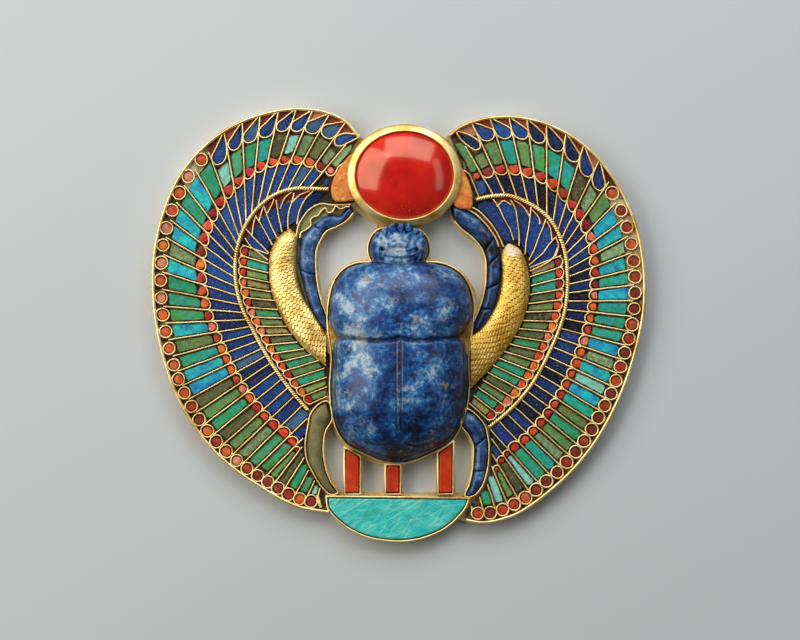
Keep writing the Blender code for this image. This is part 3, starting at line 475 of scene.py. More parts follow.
wingPlans = {
    "left": {
        "rim": [
            (-7.8, 38.3), (-10.2, 41.2), (-14.3, 43.3), (-20, 44.1), (-26.5, 43.3), (-32.5, 41.2),
            (-39, 36.9), (-44.3, 30.8), (-47.9, 22.9), (-49.7, 14.8), (-49.9, 5.1), (-48.3, -5),
            (-44.1, -16.5), (-37.2, -26), (-28.5, -32.7), (-20, -37.1), (-14.3, -38.1)],
        "braid": [
            (-14.3, 27.6), (-17.6, 27.7), (-21.2, 27.7), (-24.8, 26.6), (-28.3, 24), (-31.1, 20.1),
            (-32.7, 15.5), (-33.1, 10.2), (-32.1, 4.7), (-29.3, -1.3), (-25.9, -7.4), (-21.7, -13.3),
            (-18.4, -17.1)],
        "foot": [
            (-18.2, -17.7), (-18.2, -20), (-19.2, -23.2), (-19, -26.2), (-17.8, -29.5), (-16.1, -32.1),
            (-14.9, -33.9)],
        "rimAt": (0.0, 0.0, 0.017, 0.075, 0.126, 0.216, 0.321, 0.414, 0.529, 0.642, 0.74, 0.829, 0.859,
                  0.879,
                  0.899, 0.919, 0.939, 0.958, 0.988),
        "innerAt": (0.0, 0.033, 0.062, 0.117, 0.181, 0.255, 0.312, 0.373, 0.467, 0.546, 0.632, 0.737,
                    0.791, 0.844,
                    0.865, 0.893, 0.927, 0.957, 0.991),
        "middleAt": (0.646, 0.645, 0.638, 0.6, 0.546, 0.532, 0.549, 0.55, 0.576, 0.611, 0.615, 0.62, 0.65,
                     0.79,
                     0.86, 0.86, 0.86, 0.86, 0.86),
        "lastMiddle": 33, "cellTop": 6.5 * mm, "ribTop": 3.6 * mm,
        "firstDrop": [
            (-7.8, 38.4), (-9.1, 38.7), (-11.2, 38.8), (-12.6, 38.2), (-13, 37.1), (-12.7, 36.4),
            (-11.8, 36.3), (-10.4, 36.9), (-8.8, 37.7)],
        "firstGreen": [
            (-11.6, 35.6), (-10.5, 36.2), (-9.4, 36.7), (-9.7, 35.3), (-11.3, 33.5), (-12.7, 32),
            (-13.6, 32.6), (-12.8, 34.3)],
        "firstDot": (-13.8, 31.4),
        "firstSlip": [(-14.7, 29.7), (-14, 29.6), (-14.2, 28.6), (-14.8, 28.1), (-15.1, 28.8)],
        "firstWalls": ([
            (-9.8, 33.9), (-11.1, 32.9), (-12.3, 31.9), (-12.8, 30.9), (-13.6, 30.3), (-14.4, 30.5),
            (-14.8, 31.2)],
                       [(-16.5, -34.3), (-16.3, -35.6), (-15.9, -36.9)],
                       [(-16.3, -34.3), (-16, -35.6), (-15.7, -36.9)]),
        "dotInset": 0.0188, "dropDepth": 0.0370, "paleRim": (0.272, 0.33),
        "innerBraid": (0.385, 0.985),
        "crescentOut": [
            (-22, 19.7), (-24.2, 18.1), (-25.9, 15.1), (-26.3, 10.8), (-25.2, 4.9), (-22.2, -0.9),
            (-19, -4.8), (-14.7, -8.4)],
        "crescentIn": [
            (-22, 19.7), (-20.6, 18.3), (-20.6, 15.3), (-20.6, 10.8), (-19.4, 6.1), (-16.9, 1.9),
            (-14.7, -1.8)],
        "base": [(-26.3, 14.4), (-26.1, 9.2), (-24, 2.5), (-20, -3.8), (-14.9, -8.4), (-14.3, -14.3)],
        "longWalls": (
            [(-20.6, 20.5), (-20, 23.4), (-19, 25.4), (-17.3, 27.2)],
            [(-22.4, 19.5), (-22.4, 21.9), (-22, 23.8), (-21.6, 24.8), (-21.2, 26.8)],
            [(-23.6, 18.9), (-24.2, 21.7), (-24.6, 24), (-24.8, 25.4)],
            [(-24.6, 17.7), (-25.9, 20.3), (-26.7, 22.5), (-27.3, 24.2)],
            [(-25.6, 16.3), (-27.1, 19.1), (-28.3, 21.1), (-29, 22.1)],
            [(-26.3, 14.6), (-28.1, 16.5), (-29.7, 18.1), (-30.9, 19.5)],
            [(-26.5, 13.2), (-28.5, 14.8), (-30.1, 16.1), (-31.1, 17.7)]),
        "longTips": (
            [(-21.6, 24.8), (-20, 26.4), (-18, 27.2)], [(-24, 23.6), (-23, 25.8), (-21.6, 27)],
            [(-26.5, 22.7), (-25.6, 24.6), (-25.2, 25.6)], [(-28.3, 20.9), (-27.7, 23.1), (-27.3, 24.2)],
            [(-29.7, 18.1), (-29.3, 20.9), (-28.9, 22.3)]),
        "firstLong": [
            (-15.1, 26.8), (-16.7, 26.6), (-18, 25.6), (-19, 24), (-19.8, 21.9), (-20.2, 20.9),
            (-19.8, 23.1), (-18.8, 25), (-17.3, 26.6), (-15.9, 27.2)],
        "legSide": [
            (-18, -17.1), (-15.7, -15.1), (-14.3, -13.1), (-14.1, -7), (-14.9, -2.4), (-16.3, 0.1),
            (-18.2, 3.3), (-19.4, 6.8), (-20.4, 9.8), (-20.8, 12.6), (-20.8, 15.3), (-20.2, 17.9),
            (-18.8, 19.9), (-16.7, 21.5), (-13.9, 23.4), (-13.1, 24.6), (-13.9, 27.6)],
    },
    "right": {
        "rim": [
            (10.2, 38.7), (12.4, 40.4), (16.5, 41.9), (22.1, 42.5), (28.6, 41.5), (34.9, 38.7),
            (40.7, 33.9), (45.4, 27.2), (48.6, 19.3), (50, 10.6), (49.9, 3.5), (48, -6), (44.2, -16.3),
            (38.7, -25.6), (31.2, -33.4), (22.1, -39.2), (16.1, -40.2), (13.6, -39.7)],
        "braid": [
            (15.7, 25.5), (18.5, 26.1), (22.1, 26.3), (26.6, 24.6), (30.6, 21.5), (33.3, 16.1),
            (34.2, 9.6), (33.5, 2.3), (30.8, -4.8), (26.6, -12.4), (22.3, -17.3), (18.3, -20.6)],
        "foot": [
            (18.3, -21), (18.7, -24.2), (18.7, -27.3), (18.3, -30.3), (17.3, -33.1), (15.6, -35.2),
            (13.6, -37.8)],
        "rimAt": (0.0, 0.0, 0.026, 0.086, 0.145, 0.248, 0.35, 0.439, 0.547, 0.644, 0.733, 0.823, 0.857,
                  0.879,
                  0.902, 0.924, 0.946, 0.967, 1.0),
        "innerAt": (0.0, 0.031, 0.057, 0.116, 0.175, 0.245, 0.302, 0.356, 0.437, 0.536, 0.635, 0.733,
                    0.777, 0.799,
                    0.837, 0.865, 0.911, 0.947, 0.992),
        "middleAt": (0.658, 0.661, 0.659, 0.625, 0.601, 0.618, 0.596, 0.631, 0.658, 0.64, 0.637, 0.63,
                     0.642, 0.697,
                     0.776, 0.83, 0.83, 0.83, 0.83),
        "lastMiddle": 34, "cellTop": 7.0 * mm, "ribTop": 4.3 * mm,
        "firstDrop": [
            (11.7, 39.2), (13.2, 38.9), (15.2, 38), (16.5, 36.8), (16.5, 35.9), (15.6, 35.5),
            (14.2, 36.2), (12.5, 37.8)],
        "firstGreen": [
            (11.4, 36.8), (12.5, 37), (14.2, 35.5), (15.6, 33.1), (15.9, 31.4), (14.8, 30.9),
            (13.4, 33.2), (12.2, 35.1)],
        "firstDot": (15.8, 30.2),
        "firstSlip": [(15.6, 29.1), (17.3, 29.3), (17.8, 27), (16.4, 26.4)],
        "firstWalls": ([(13.2, 31.4), (14.4, 30.4), (15, 28.9), (15.7, 27.3), (16.2, 26)],),
        "dotInset": 0.0218, "dropDepth": 0.0320, "paleRim": (0.315, 0.50),
        "innerBraid": (0.375, 0.985),
        "crescentOut": [
            (22.3, 16.7), (24.4, 15.5), (26, 12.4), (26.6, 8), (25.6, 2.1), (22.1, -4.4), (18.3, -9),
            (14.6, -12.9)],
        "crescentIn": [
            (22.3, 16.7), (20.9, 15.1), (20.9, 11.2), (20.5, 6.8), (18.7, 2.3), (16.5, -0.7),
            (14.6, -2.2)],
        "base": [(26.4, 11.6), (26.6, 7.2), (25.2, 1.5), (21.9, -4.4), (18.3, -8.8), (14.2, -15.7)],
        "longWalls": (
            [(23.3, 17.3), (22.7, 19.1), (21.5, 21.3), (20.3, 23.8), (19.1, 25.6)],
            [(24.4, 16.1), (24.4, 18.3), (24.1, 20.9), (23.7, 23.4), (22.7, 25.4)],
            [(25.6, 14.4), (25.8, 16.7), (26.2, 18.9), (26.6, 21.7), (26.8, 24)],
            [(26.4, 13.2), (27.6, 15.7), (28.4, 17.9), (29.2, 19.7), (29.8, 21.5)],
            [(26.4, 12.2), (27.6, 13.2), (29.2, 14.6), (30.4, 16.3), (31.8, 17.9)],
            [(26.6, 11), (29.2, 12.2), (31.2, 13.6), (32.2, 15.7)]),
        "longTips": (
            [(19.9, 24), (21.3, 25.2), (22.7, 24.4)], [(23.3, 25.4), (25.2, 24), (26.6, 21.9)],
            [(27, 23.4), (28.4, 21.7), (28.6, 20.5)], [(30, 21.1), (30.8, 19.5), (31, 17.3)],
            [(31.8, 17.9), (32.4, 16.1), (31.8, 14)]),
        "firstLong": [
            (16.1, 24.7), (17.9, 25.2), (19.1, 24.8), (20.1, 23.4), (21.3, 21.1), (22.5, 18.9),
            (23.1, 17.3), (21.9, 16.6), (21.2, 17.3), (20, 19.4), (18.5, 21.5), (16.6, 23.5),
            (15.5, 24.1)],
        "legSide": [
            (18.3, -20.6), (16.1, -18.1), (14, -16.1), (14, -11.1), (14.6, -4), (16.1, -2), (18.5, 0.7),
            (19.9, 4.1), (20.7, 7.8), (21.3, 11.2), (21.1, 14.4), (20.3, 17.3), (18.9, 19.3),
            (17.3, 21.1),
            (15.2, 23.1), (15.2, 25.4)],
    },
}
featherIndex = (-1.6, 0, 1, 3, 5, 8, 11, 14, 18, 22, 26, 30, 31.5, 32.5, 33.5, 34.5, 35.5, 36.5, 38)
featherLook = {"count": 37, "drops": 9, "dotRadius": 0.0096 * span, "ringRadius": 0.0126 * span,
               "rib": 0.34 * mm, "rimWidth": 0.68 * mm, "braidWidth": 0.92 * mm, "gap": 0.12 * mm,
               "innerCount": 17, "rimTop": 3.4 * mm, "dropGap": 0.1 * mm, "stoneGap": 0.19 * mm,
               "dotGap": 0.22 * mm, "innerStoneGap": 0.15 * mm, "innerDotGap": 0.14 * mm,
               "leastSlip": 0.4 * mm, "leastGreen": 0.3 * mm, "wallTop": 3.2 * mm, "wallFoot": 1.9 * mm,
               "bedTop": 2.2 * mm}


class WingPlan:
    def __init__(self, side):
        self.side = side
        self.values = wingPlans[side]
        self.hand = 1 if side == "right" else -1
        self.rim = smooth(self.values["rim"], 140)
        self.braid = smooth(self.values["braid"], 120)
        self.inner = np.vstack([self.braid, smooth(self.values["foot"], 40)])
        self.base = smooth(self.values["base"], 60)

    def reads(self, key, feather):
        return np.interp(feather, featherIndex, self.values[key])

    def ends(self, feather):
        return along(self.rim, self.reads("rimAt", feather)), along(self.inner,
                                                                    self.reads("innerAt", feather))

    def length(self, feather):
        outer, inner = self.ends(feather)
        return apart(inner, outer)

    def at(self, feather, depth):
        # a point on the feather's line, so far below the rim
        outer, inner = self.ends(feather)
        return outer + (inner - outer) * depth / np.hypot(*(inner - outer))

    def down(self, feather, depth):
        return unit(self.at(feather, depth + mm) - self.at(feather, depth))

    def middleDepth(self, feather):
        return self.reads("middleAt", feather) * self.length(feather)

    def innerSpot(self, number, share):
        at = (number + 0.5) / featherLook["innerCount"]
        foot = along(self.base, at)
        first, last = self.values["innerBraid"]
        return foot + (along(self.braid, first + (last - first) * at) - foot) * share


def straight(a, b, count=6):
    return np.array([a + (b - a) * t for t in np.linspace(0, 1, count)])


def arcEnd(a, b, bulge, count=11):
    # a half round from a to b, bulging so far to the side of the given point
    middle, half = (a + b) / 2, (a - b) / 2
    turn = np.linspace(0, math.pi, count)
    return np.array([middle + half * math.cos(t) + bulge * math.sin(t) for t in turn])


def cutDot(centre, radius, direction, rng):
    # a round stone with its back cut off straight
    outline = oval(centre, (radius * rng.uniform(0.92, 1.03),) * 2, 18, rng, 0.08)
    reach = radius * rng.uniform(0.5, 0.8)
    return outline + np.maximum(0, -reach - (outline - centre) @ direction)[:, None] * direction


def chooseTint(rng, palette):
    colour, _, decay = rng.choices(palette, [entry[1] for entry in palette])[0]
    level = rng.uniform(0.86, 1.1)
    return tuple(min(1.0, v * level) for v in hexColour(colour)[:3]) + (decay * rng.uniform(0.7, 1.0),)


greens = [("1C8F66", 2.5, 0.2), ("35955C", 2.5, 0.4), ("5A8F4E", 2.5, 0.5), ("7FA878", 1.5, 0.5),
          ("15998A", 2.2, 0.16),
          ("7CC4B8", 1.5, 0.3), ("6A7440", 1.5, 0.6), ("565632", 1.0, 0.8), ("1C1C12", 0.6, 1.0)]
blues = [("0B9ABF", 4, 0.06), ("12A6B4", 4, 0.2), ("169680", 2, 0.36)]
olives = [("557E44", 3, 0.4), ("74924F", 2, 0.46), ("4A6238", 2, 0.5), ("2A8F62", 2, 0.28),
          ("1C9478", 1.6, 0.16),
          ("9A9058", 1, 0.45), ("38381F", 1.2, 0.9)]
reds = [("C2431F", 4, 0.0), ("A82A18", 3, 0.0), ("CC7458", 1.4, 0.05), ("D0641F", 2, 0.0),
        ("7E1A10", 1, 0.0)]
brightBricks = [("B04420", 4, 0.0), ("98301A", 2, 0.0), ("C07A5C", 1.6, 0.15), ("C05A22", 2, 0.0),
                ("7A2614", 1, 0.0)]
darkBricks = [("8E2E16", 4, 0.0), ("A63E1E", 2, 0.0), ("6E1E10", 3, 0.0), ("B4552C", 1.5, 0.0),
              ("55160C", 1.2, 0.0)]
lapises = [("123A7C", 4, 0.0), ("0D2C66", 4, 0.0), ("184A8C", 2, 0.05), ("081A44", 2, 0.0),
           ("35597F", 1, 0.35)]
darkLapises = [("163272", 1.5, 0.0), ("0C1B48", 3, 0.0), ("070E22", 3, 0.1), ("04060E", 2, 0.2)]
duskLapises = lapises[1:2] + lapises[3:] + darkLapises[:3]
fillers = [("6E2410", 3, 0.0), ("571A0C", 3, 0.1), ("803A1C", 1.5, 0.1), ("9C6650", 0.7, 0.25)]


def outerWing(plan):
    side, hand, look = plan.side, plan.hand, featherLook
    rng = random.Random(11 if side == "left" else 23)
    gap, rib = look["gap"], look["rib"]
    inset, dropDepth = plan.values["dotInset"] * span, plan.values["dropDepth"] * span
    rings, outerDots, outerTints = [], [], []
    for j in range(look["drops"] + 1, look["count"] + 1):
        centre = plan.at(j, inset * rng.uniform(0.97, 1.04))
        size = look["ringRadius"] * rng.uniform(0.95, 1.04)
        rings.append((oval(centre, (size, size), 18, rng, 0.05), True))
        stone = look["dotRadius"] * rng.uniform(0.92, 1.03)
        outerDots.append(oval(centre, (stone, stone), 16, rng, 0.09))
        outerTints.append(chooseTint(rng, brightBricks if side == "left" else darkBricks))

    # a drop hangs from the rim end of the wall on its disc side, its round end over its own feather
    values = plan.values
    firstLine = smooth(values["firstDrop"], 34, True)
    inward = -(rib / 2 + look["dropGap"])
    drops, dropLines = [grow(firstLine, inward)], [(firstLine, True)]
    dropTints, dropEnds = [chooseTint(rng, lapises)], {1: values["cellTop"]}
    for j in range(2, look["drops"] + 1):
        depth = dropDepth * rng.uniform(0.96, 1.05)
        centre, tip = plan.at(j, depth), plan.at(j - 0.5, 0.3 * mm)
        toWall = plan.at(j - 0.5, depth) - centre
        radius = float(np.hypot(*toWall)) * 0.93
        toWall, down = unit(toWall), plan.down(j, depth)
        near, far = centre + toWall * radius, centre - toWall * radius
        line = curveThrough(np.array([
            tip, tip * 0.5 + near * 0.5 + toWall * radius * 0.06, near,
            near - toWall * radius * 0.3 + down * radius * 0.7, centre + down * radius * 0.98,
            far + toWall * radius * 0.3 + down * radius * 0.7, far,
            tip * 0.5 + far * 0.5 - toWall * radius * 0.22, tip]), 34)
        dropLines.append((line, False))
        drops.append(grow(line[1:-1], inward))
        dropTints.append(chooseTint(rng, lapises))
        dropEnds[j] = depth + radius + rib / 2 + look["dropGap"]

    # the first feather is squeezed between its neighbour and the disc, so its stones are cut to fit
    firstDot = place([values["firstDot"]])[0]
    greenStones, greenTints = [smooth(values["firstGreen"], 22, True)], [chooseTint(rng, greens)]
    middles, middleTints = [oval(firstDot, (0.66 * mm, 0.66 * mm), 18, rng, 0.08)], [chooseTint(rng,
                                                                                                reds)]
    slips, slipTints = [worn(place(values["firstSlip"]), rng, stoneWear)], [chooseTint(rng, lapises)]
    lines = [(smooth(wall, 16), False) for wall in values["firstWalls"]]
    margin, run = rib / 2 + look["stoneGap"], 1
    for j in range(1, look["count"] + 1):
        hasDrop = j <= look["drops"]
        outerDepth = dropEnds[j] if hasDrop else inset + look["ringRadius"] + rib / 2 + 0.05 * mm
        innerDepth = plan.length(j) - look["braidWidth"] / 2 - gap
        low, high = j - 0.5, j + 0.5

        def corner(number, depth):      # a point beside a wall, on this feather's side
            spot = plan.at(number, depth)
            toward = plan.at(j, depth) - spot
            return spot + toward / max(np.hypot(*toward), 1e-9) * margin

        def block(start, end):
            return np.array([corner(low, start), corner(high, start), corner(high, end),
                             corner(low, end)])

        if j <= values["lastMiddle"]:
            depth = plan.middleDepth(j)
            a, b = plan.at(low, depth), plan.at(high, depth)
            centre, half, down = (a + b) / 2, apart(a, b) / 2, plan.down(j, depth)
            lines.append((arcEnd(a, b, down * half * 1.02), False))
            radius = half - rib / 2 - look["dotGap"]
            middles.append(cutDot(centre, radius, down, rng))
            middleTints.append(chooseTint(rng, reds))
            greenEnd = depth - radius * 0.86
            start = depth + half * 1.02 + rib / 2 + gap
            if innerDepth - start > look["leastSlip"]:
                slips.append(worn(block(start, innerDepth), rng, stoneWear))
                tones = lapises if side == "left" else darkLapises if j < 7 else duskLapises
                slipTints.append(chooseTint(rng, tones))
        else:
            greenEnd = innerDepth
        short = [rng.choice((0.0, 0.0, 0.15, 0.5)) * mm * rng.random() for _ in range(2)]
        outerDepth, greenEnd = outerDepth + short[0], greenEnd - short[1]
        if greenEnd - outerDepth > look["leastGreen"]:
            greenStones.append(worn(block(outerDepth, greenEnd), rng, brokenWear))
            run = run - 1 if run > -1 else rng.choice((0, 1, 1, 2))
            palette = blues if 10 <= j <= 24 and run > -1 else greens
            greenTints.append(chooseTint(rng, palette))
    for j in range(look["count"] + 1):
        number = j + 0.5
        start = 0.3 * mm if number < look["drops"] else inset * 1.15
        if j == look["drops"]:
            start = dropDepth * 0.5
        start = start if j else values["ribTop"]
        end = plan.length(number) - look["braidWidth"] * 0.45
        a, b = plan.at(number, start), plan.at(number, end)
        lines.append((straight(a, b, 9), False))

    walls = wires(lines + rings + dropLines, rib, look["wallFoot"], look["wallTop"])
    addPiece(side + "FeatherWalls", walls, wallGold, (side + "_feather_walls",))
    rimLine = beside(plan.rim, hand * look["rimWidth"] / 2)
    addPiece(side + "Rim", wires([(rimLine, False)], look["rimWidth"], plateTop, look["rimTop"],
                                 0.03 * mm),
             wallGold, (side + "_rim",))

    setStones(side + "OuterDots", outerDots, outerTints, dotLook, carnelianInlay, (side + "_outer_row",))
    setStones(side + "Drops", drops, dropTints, dropLook, lapisInlay, ())
    setStones(side + "GreenSlips", greenStones, greenTints, greenLook, turquoiseInlay,
              (side + "_green_row",))
    setStones(side + "MiddleDots", middles, middleTints, smallDotLook, carnelianInlay,
              (side + "_middle_row",))
    setStones(side + "LapisSlips", slips, slipTints, slipLook, lapisInlay, (side + "_lapis_row",))

    paste, pasteTints = [], []
    for j in range(1, look["drops"] + 1):
        ends = [plan.at(j + step, 0.55 * mm) for step in (-0.44, 0.0, 0.44)]
        deep = [plan.at(j + step, dropDepth * 0.95) for step in (0.44, -0.44)]
        paste.append(np.array(ends + deep))
        pasteTints.append(chooseTint(rng, fillers))
    setStones(side + "Fillers", paste, pasteTints, fillerLook, fillerInlay)
    first, last = plan.values["paleRim"]
    limy = np.vstack([along(beside(plan.rim, hand * 0.5 * mm), np.linspace(first, last, 16)),
                      along(beside(plan.rim, hand * inset * 1.7), np.linspace(last, first, 16))])
    slabOf(side + "LimyRim", [limy], stoneFoot, look["bedTop"] + 0.12 * mm, paleCement)

    bed = np.vstack([beside(plan.rim, hand * 0.3 * mm), plan.inner[::-1]])
    slabOf(side + "Bed", [bed], bedFoot, look["bedTop"], mottledCement)
    numbers = np.linspace(-0.4, 33.6, 80)
    under = [plan.at(f, plan.middleDepth(f)) for f in numbers]
    deep = [plan.at(f, plan.length(f)) for f in numbers[::-1]]
    slabOf(side + "LapisBed", [np.array(under + deep)], stoneFoot, look["bedTop"] + 0.05 * mm, darkCement)


stoneWear = {"corner": 0.16 * mm, "step": 0.7 * mm, "wobble": 0.022 * mm}
brokenWear = {"corner": 0.34 * mm, "step": 0.6 * mm, "wobble": 0.05 * mm}
dotLook = {"seed": 5, "foot": stoneFoot, "top": 2.86 * mm, "shoulder": 0.13 * mm, "uneven": 0.12 * mm,
           "tilt": 0.03,
           "sink": 0.2 * mm, "dome": ((0.25 * mm, 0.04 * mm), (0.25 * mm, 0.01 * mm))}
smallDotLook = {**dotLook, "seed": 6, "shoulder": 0.11 * mm, "dome": ((0.2 * mm, 0.03 * mm),)}
dropLook = {**dotLook, "seed": 7, "shoulder": 0.14 * mm, "dome": ((0.12 * mm, 0.03 * mm),)}
slipLook = {"seed": 8, "foot": stoneFoot, "top": 2.9 * mm, "shoulder": 0.1 * mm, "uneven": 0.12 * mm,
            "tilt": 0.02,
            "sink": 0.3 * mm}
greenLook = {**slipLook, "seed": 10, "shoulder": 0.2 * mm, "edgeDecay": 0.32, "uneven": 0.18 * mm,
             "tilt": 0.03}
fillerLook = {"seed": 9, "foot": stoneFoot, "top": 2.6 * mm, "shoulder": 0.08 * mm, "uneven": 0.15 * mm,
              "tilt": 0.03,
              "sink": 0.2 * mm}

plans = {side: WingPlan(side) for side in ("left", "right")}
for plan in plans.values():
    outerWing(plan)
print("outer wings done")


def rope(path, look):
    # two wires twisted together, which show as a row of slanting beads
    reach = lengthOf(path)
    turns = reach / look["bead"] / 2
    count = int(turns * 9)
    curve = bpy.data.curves.new("twist", "CURVE")
    curve.dimensions = "3D"
    curve.bevel_depth = look["wire"] / 2
    shares = np.linspace(0, 1, count)
    line = along(path, shares)
    side = beside(line, 1.0) - line
    for phase in (0, math.pi):
        angle = shares * turns * 2 * math.pi + phase
        swing = np.cos(angle) * look["swing"]
        lift = look["height"] + np.sin(angle) * look["swing"]
        addLine(curve, [(x, y, z) for (x, y), z in zip(line + side * swing[:, None], lift)])
    return curveToMesh(curve)


braidLook = {"bead": 0.54 * mm, "wire": 0.5 * mm, "swing": 0.24 * mm, "height": 3.22 * mm}


def innerWing(plan):
    side, hand, look, values = plan.side, plan.hand, featherLook, plan.values
    rng = random.Random(37 if side == "left" else 51)
    rib = look["rib"] * 0.9
    addPiece(side + "Braid", rope(plan.braid, braidLook), wallGold, (side + "_braid",))

    stones, tints, dots, dotTints, lines = [], [], [], [], []
    margin = rib / 2 + look["innerStoneGap"]
    for n in range(look["innerCount"]):
        base, tip = plan.innerSpot(n, 0), plan.innerSpot(n, 1)
        reach = apart(tip, base)
        top = 1 - (look["braidWidth"] / 2 + 0.25 * mm) / reach
        half = apart(plan.innerSpot(n - 0.5, 0.9), plan.innerSpot(n + 0.5, 0.9)) / 2
        middle = top - half / reach * 0.95
        a, b = plan.innerSpot(n - 0.5, middle), plan.innerSpot(n + 0.5, middle)
        half, out = apart(a, b) / 2, unit(tip - base)
        lines.append((arcEnd(a, b, out * half * 0.95), False))
        radius = half - rib / 2 - look["innerDotGap"]
        dots.append(cutDot((a + b) / 2, radius, out, rng))
        dotTints.append(chooseTint(rng, reds))

        def corner(number, share):
            spot = plan.innerSpot(number, share)
            toward = plan.innerSpot(n, share) - spot
            return spot + toward / np.hypot(*toward) * margin

        start, end = 0.05, middle - radius * 0.85 / reach
        block = np.array([corner(n - 0.5, start), corner(n + 0.5, start), corner(n + 0.5, end),
                          corner(n - 0.5, end)])
        stones.append(worn(block, rng, {**brokenWear, "corner": 0.2 * mm}))
        tints.append(chooseTint(rng, olives))
    for wall in np.arange(look["innerCount"] + 1) - 0.5:
        reach = apart(plan.innerSpot(wall, 1), plan.innerSpot(wall, 0))
        lines.append((straight(plan.innerSpot(wall, 0.02), plan.innerSpot(wall, 1 - 0.9 * mm / reach), 7),
                      False))

    walls = [smooth(line, 16) for line in values["longWalls"]]
    tips = [smooth(line, 8) for line in values["longTips"]]
    lines += [(line, False) for line in walls + tips]
    longStones = [worn(smooth(values["firstLong"], 14, True), rng, {**stoneWear, "corner": 0.05 * mm})]
    longTints = [chooseTint(rng, lapises[:3])]
    for number, (a, b) in enumerate(zip(walls, walls[1:])):
        hasTip = number < len(tips)      # a slanting wire cuts the corner off the stone
        rise = along(a, np.linspace(0.06, 0.8 if hasTip else 0.9, 6))
        cut = tips[number][[2, 4]] if hasTip else np.empty((0, 2))
        outline = np.vstack([rise, cut, along(b, np.linspace(0.9, 0.06, 6))])
        longStones.append(grow(outline, -(rib / 2 + 0.08 * mm)))
        longTints.append(chooseTint(rng, lapises[:3]))
    wallPiece = wires(lines, rib, look["wallFoot"], look["wallTop"], 0.05 * mm)
    addPiece(side + "InnerWalls", wallPiece, wallGold, (side + "_inner_walls",))
    setStones(side + "InnerGreenSlips", stones, tints, {**greenLook, "seed": 12}, turquoiseInlay,
              (side + "_inner_green_row",))
    setStones(side + "InnerDots", dots, dotTints, {**smallDotLook, "seed": 13}, carnelianInlay,
              (side + "_inner_dots",))
    setStones(side + "LongFeathers", longStones, longTints,
              {**slipLook, "seed": 14, "shoulder": 0.12 * mm},
              lapisInlay, (side + "_long_feathers",))
    bed = np.vstack([plan.braid, smooth(values["legSide"], 40)])
    slabOf(side + "InnerBed", [bed], bedFoot, look["bedTop"] - 0.02 * mm, darkCement)
    inside = beside(plan.braid, hand * look["braidWidth"] * 0.5)
    paste = [np.vstack([along(inside, np.linspace(0.05, 0.36, 14)),
                        along(beside(plan.braid, hand * 2.2 * mm), np.linspace(0.36, 0.05, 14))])]
    setStones(side + "InnerFillers", paste, [chooseTint(rng, fillers[:1])],
              {**fillerLook, "top": 2.4 * mm},
              fillerInlay)


for plan in plans.values():
    innerWing(plan)
print("inner wings done")

crescentLook = {"foot": plateTop, "edge": 3.0 * mm, "crest": 4.42 * mm, "scaleWide": 1.12 * mm,
                "scaleLong": 0.84 * mm, "relief": 0.36 * mm, "across": 64, "lengthwise": 400}


def crescent(plan):
    # sheet gold domed over a core and chased with rows of small overlapping scales
    look, values = crescentLook, plan.values
    marks = np.linspace(0.012, 1, 160)
    outer = along(smooth(values["crescentOut"], 90), marks)
    inner = along(smooth(values["crescentIn"], 90), marks)
    middle = (outer + inner) / 2
    reach = lengthOf(middle)

    def heights(u, v, flat):
        wide = np.hypot(*(along(inner, v) - along(outer, v)).T)
        rowAt = v * reach / look["scaleLong"]
        spread = (u - 0.5) * wide / look["scaleWide"]
        wander = np.array([noise.noise(Vector((x * 700, y * 700, 0))) for x, y in flat])
        rowAt = rowAt + 0.4 * wander
        spread = spread + 0.25 * np.roll(wander, 7)
        relief = np.zeros(len(u))
        for back in (0, 1):      # the later row's scale lies on top, where its round end reaches
            row = np.floor(rowAt) - back
            offset = np.mod(row, 2) * 0.5
            column = spread + offset - np.floor(spread + offset) - 0.5
            end = 1.0 + 0.55 * (1 - (2 * column) ** 2)
            here = rowAt - row
            covered = here < end
            lift = np.where(covered, 0.25 + 0.75 * (here / end), 0)
            lift = lift * (1 - 0.3 * (2 * column) ** 4)
            relief = np.maximum(relief, lift) if back else lift
        rise = np.interp(v, (0, 0.12, 0.8, 1), (0.45, 1, 1, 0.75))
        dome = (1 - np.abs(2 * u - 1) ** 2.2) ** 0.62
        return (look["edge"] + (look["crest"] - look["edge"]) * rise * dome
                + look["relief"] * (relief - 0.6) * np.minimum(1, dome * 2.5))

    shape = domedGrid(outer, inner, look["across"], look["lengthwise"], look["foot"], heights)
    addPiece(plan.side + "Crescent", toMesh(shape, "crescent"), chasedGold[plan.side],
             (plan.side + "_crescent",))


for plan in plans.values():
    crescent(plan)
print("crescents done")

discLook = {      # the collar's section: share of its radius, height in mm
    "centre": (1.2, 30.3), "ringRadii": (0.1164 * span, 0.1036 * span), "stoneShare": 0.845,
    "foot": plateTop,
    "edge": 5.0 * mm, "crest": 8.0 * mm, "steps": 128, "roughness": 0.14,
    "collar": ((1.0, 4.45), (0.997, 4.62), (0.99, 4.74), (0.97, 4.9), (0.94, 5.1), (0.91, 5.3),
               (0.885, 5.46),
               (0.872, 5.5), (0.862, 5.47), (0.855, 5.38), (0.85, 5.1))}

def spun(profile, look):
    # a profile turned once round, then drawn out to the oval
    shape = bmesh.new()
    verts = [shape.verts.new((r, 0, z)) for r, z in profile]
    edges = [shape.edges.new(pair) for pair in zip(verts, verts[1:])]
    bmesh.ops.spin(shape, geom=verts + edges, cent=(0, 0, 0), axis=(0, 0, 1), angle=2 * math.pi,
                   steps=look["steps"],
                   use_merge=True)
    bmesh.ops.remove_doubles(shape, verts=shape.verts, dist=1e-7)
    centre = place([look["centre"]])[0]
    bmesh.ops.scale(shape, vec=(*look["ringRadii"], 1), verts=shape.verts)
    bmesh.ops.translate(shape, vec=(*centre, 0), verts=shape.verts)
    for face in shape.faces:
        face.smooth = True
    return shape


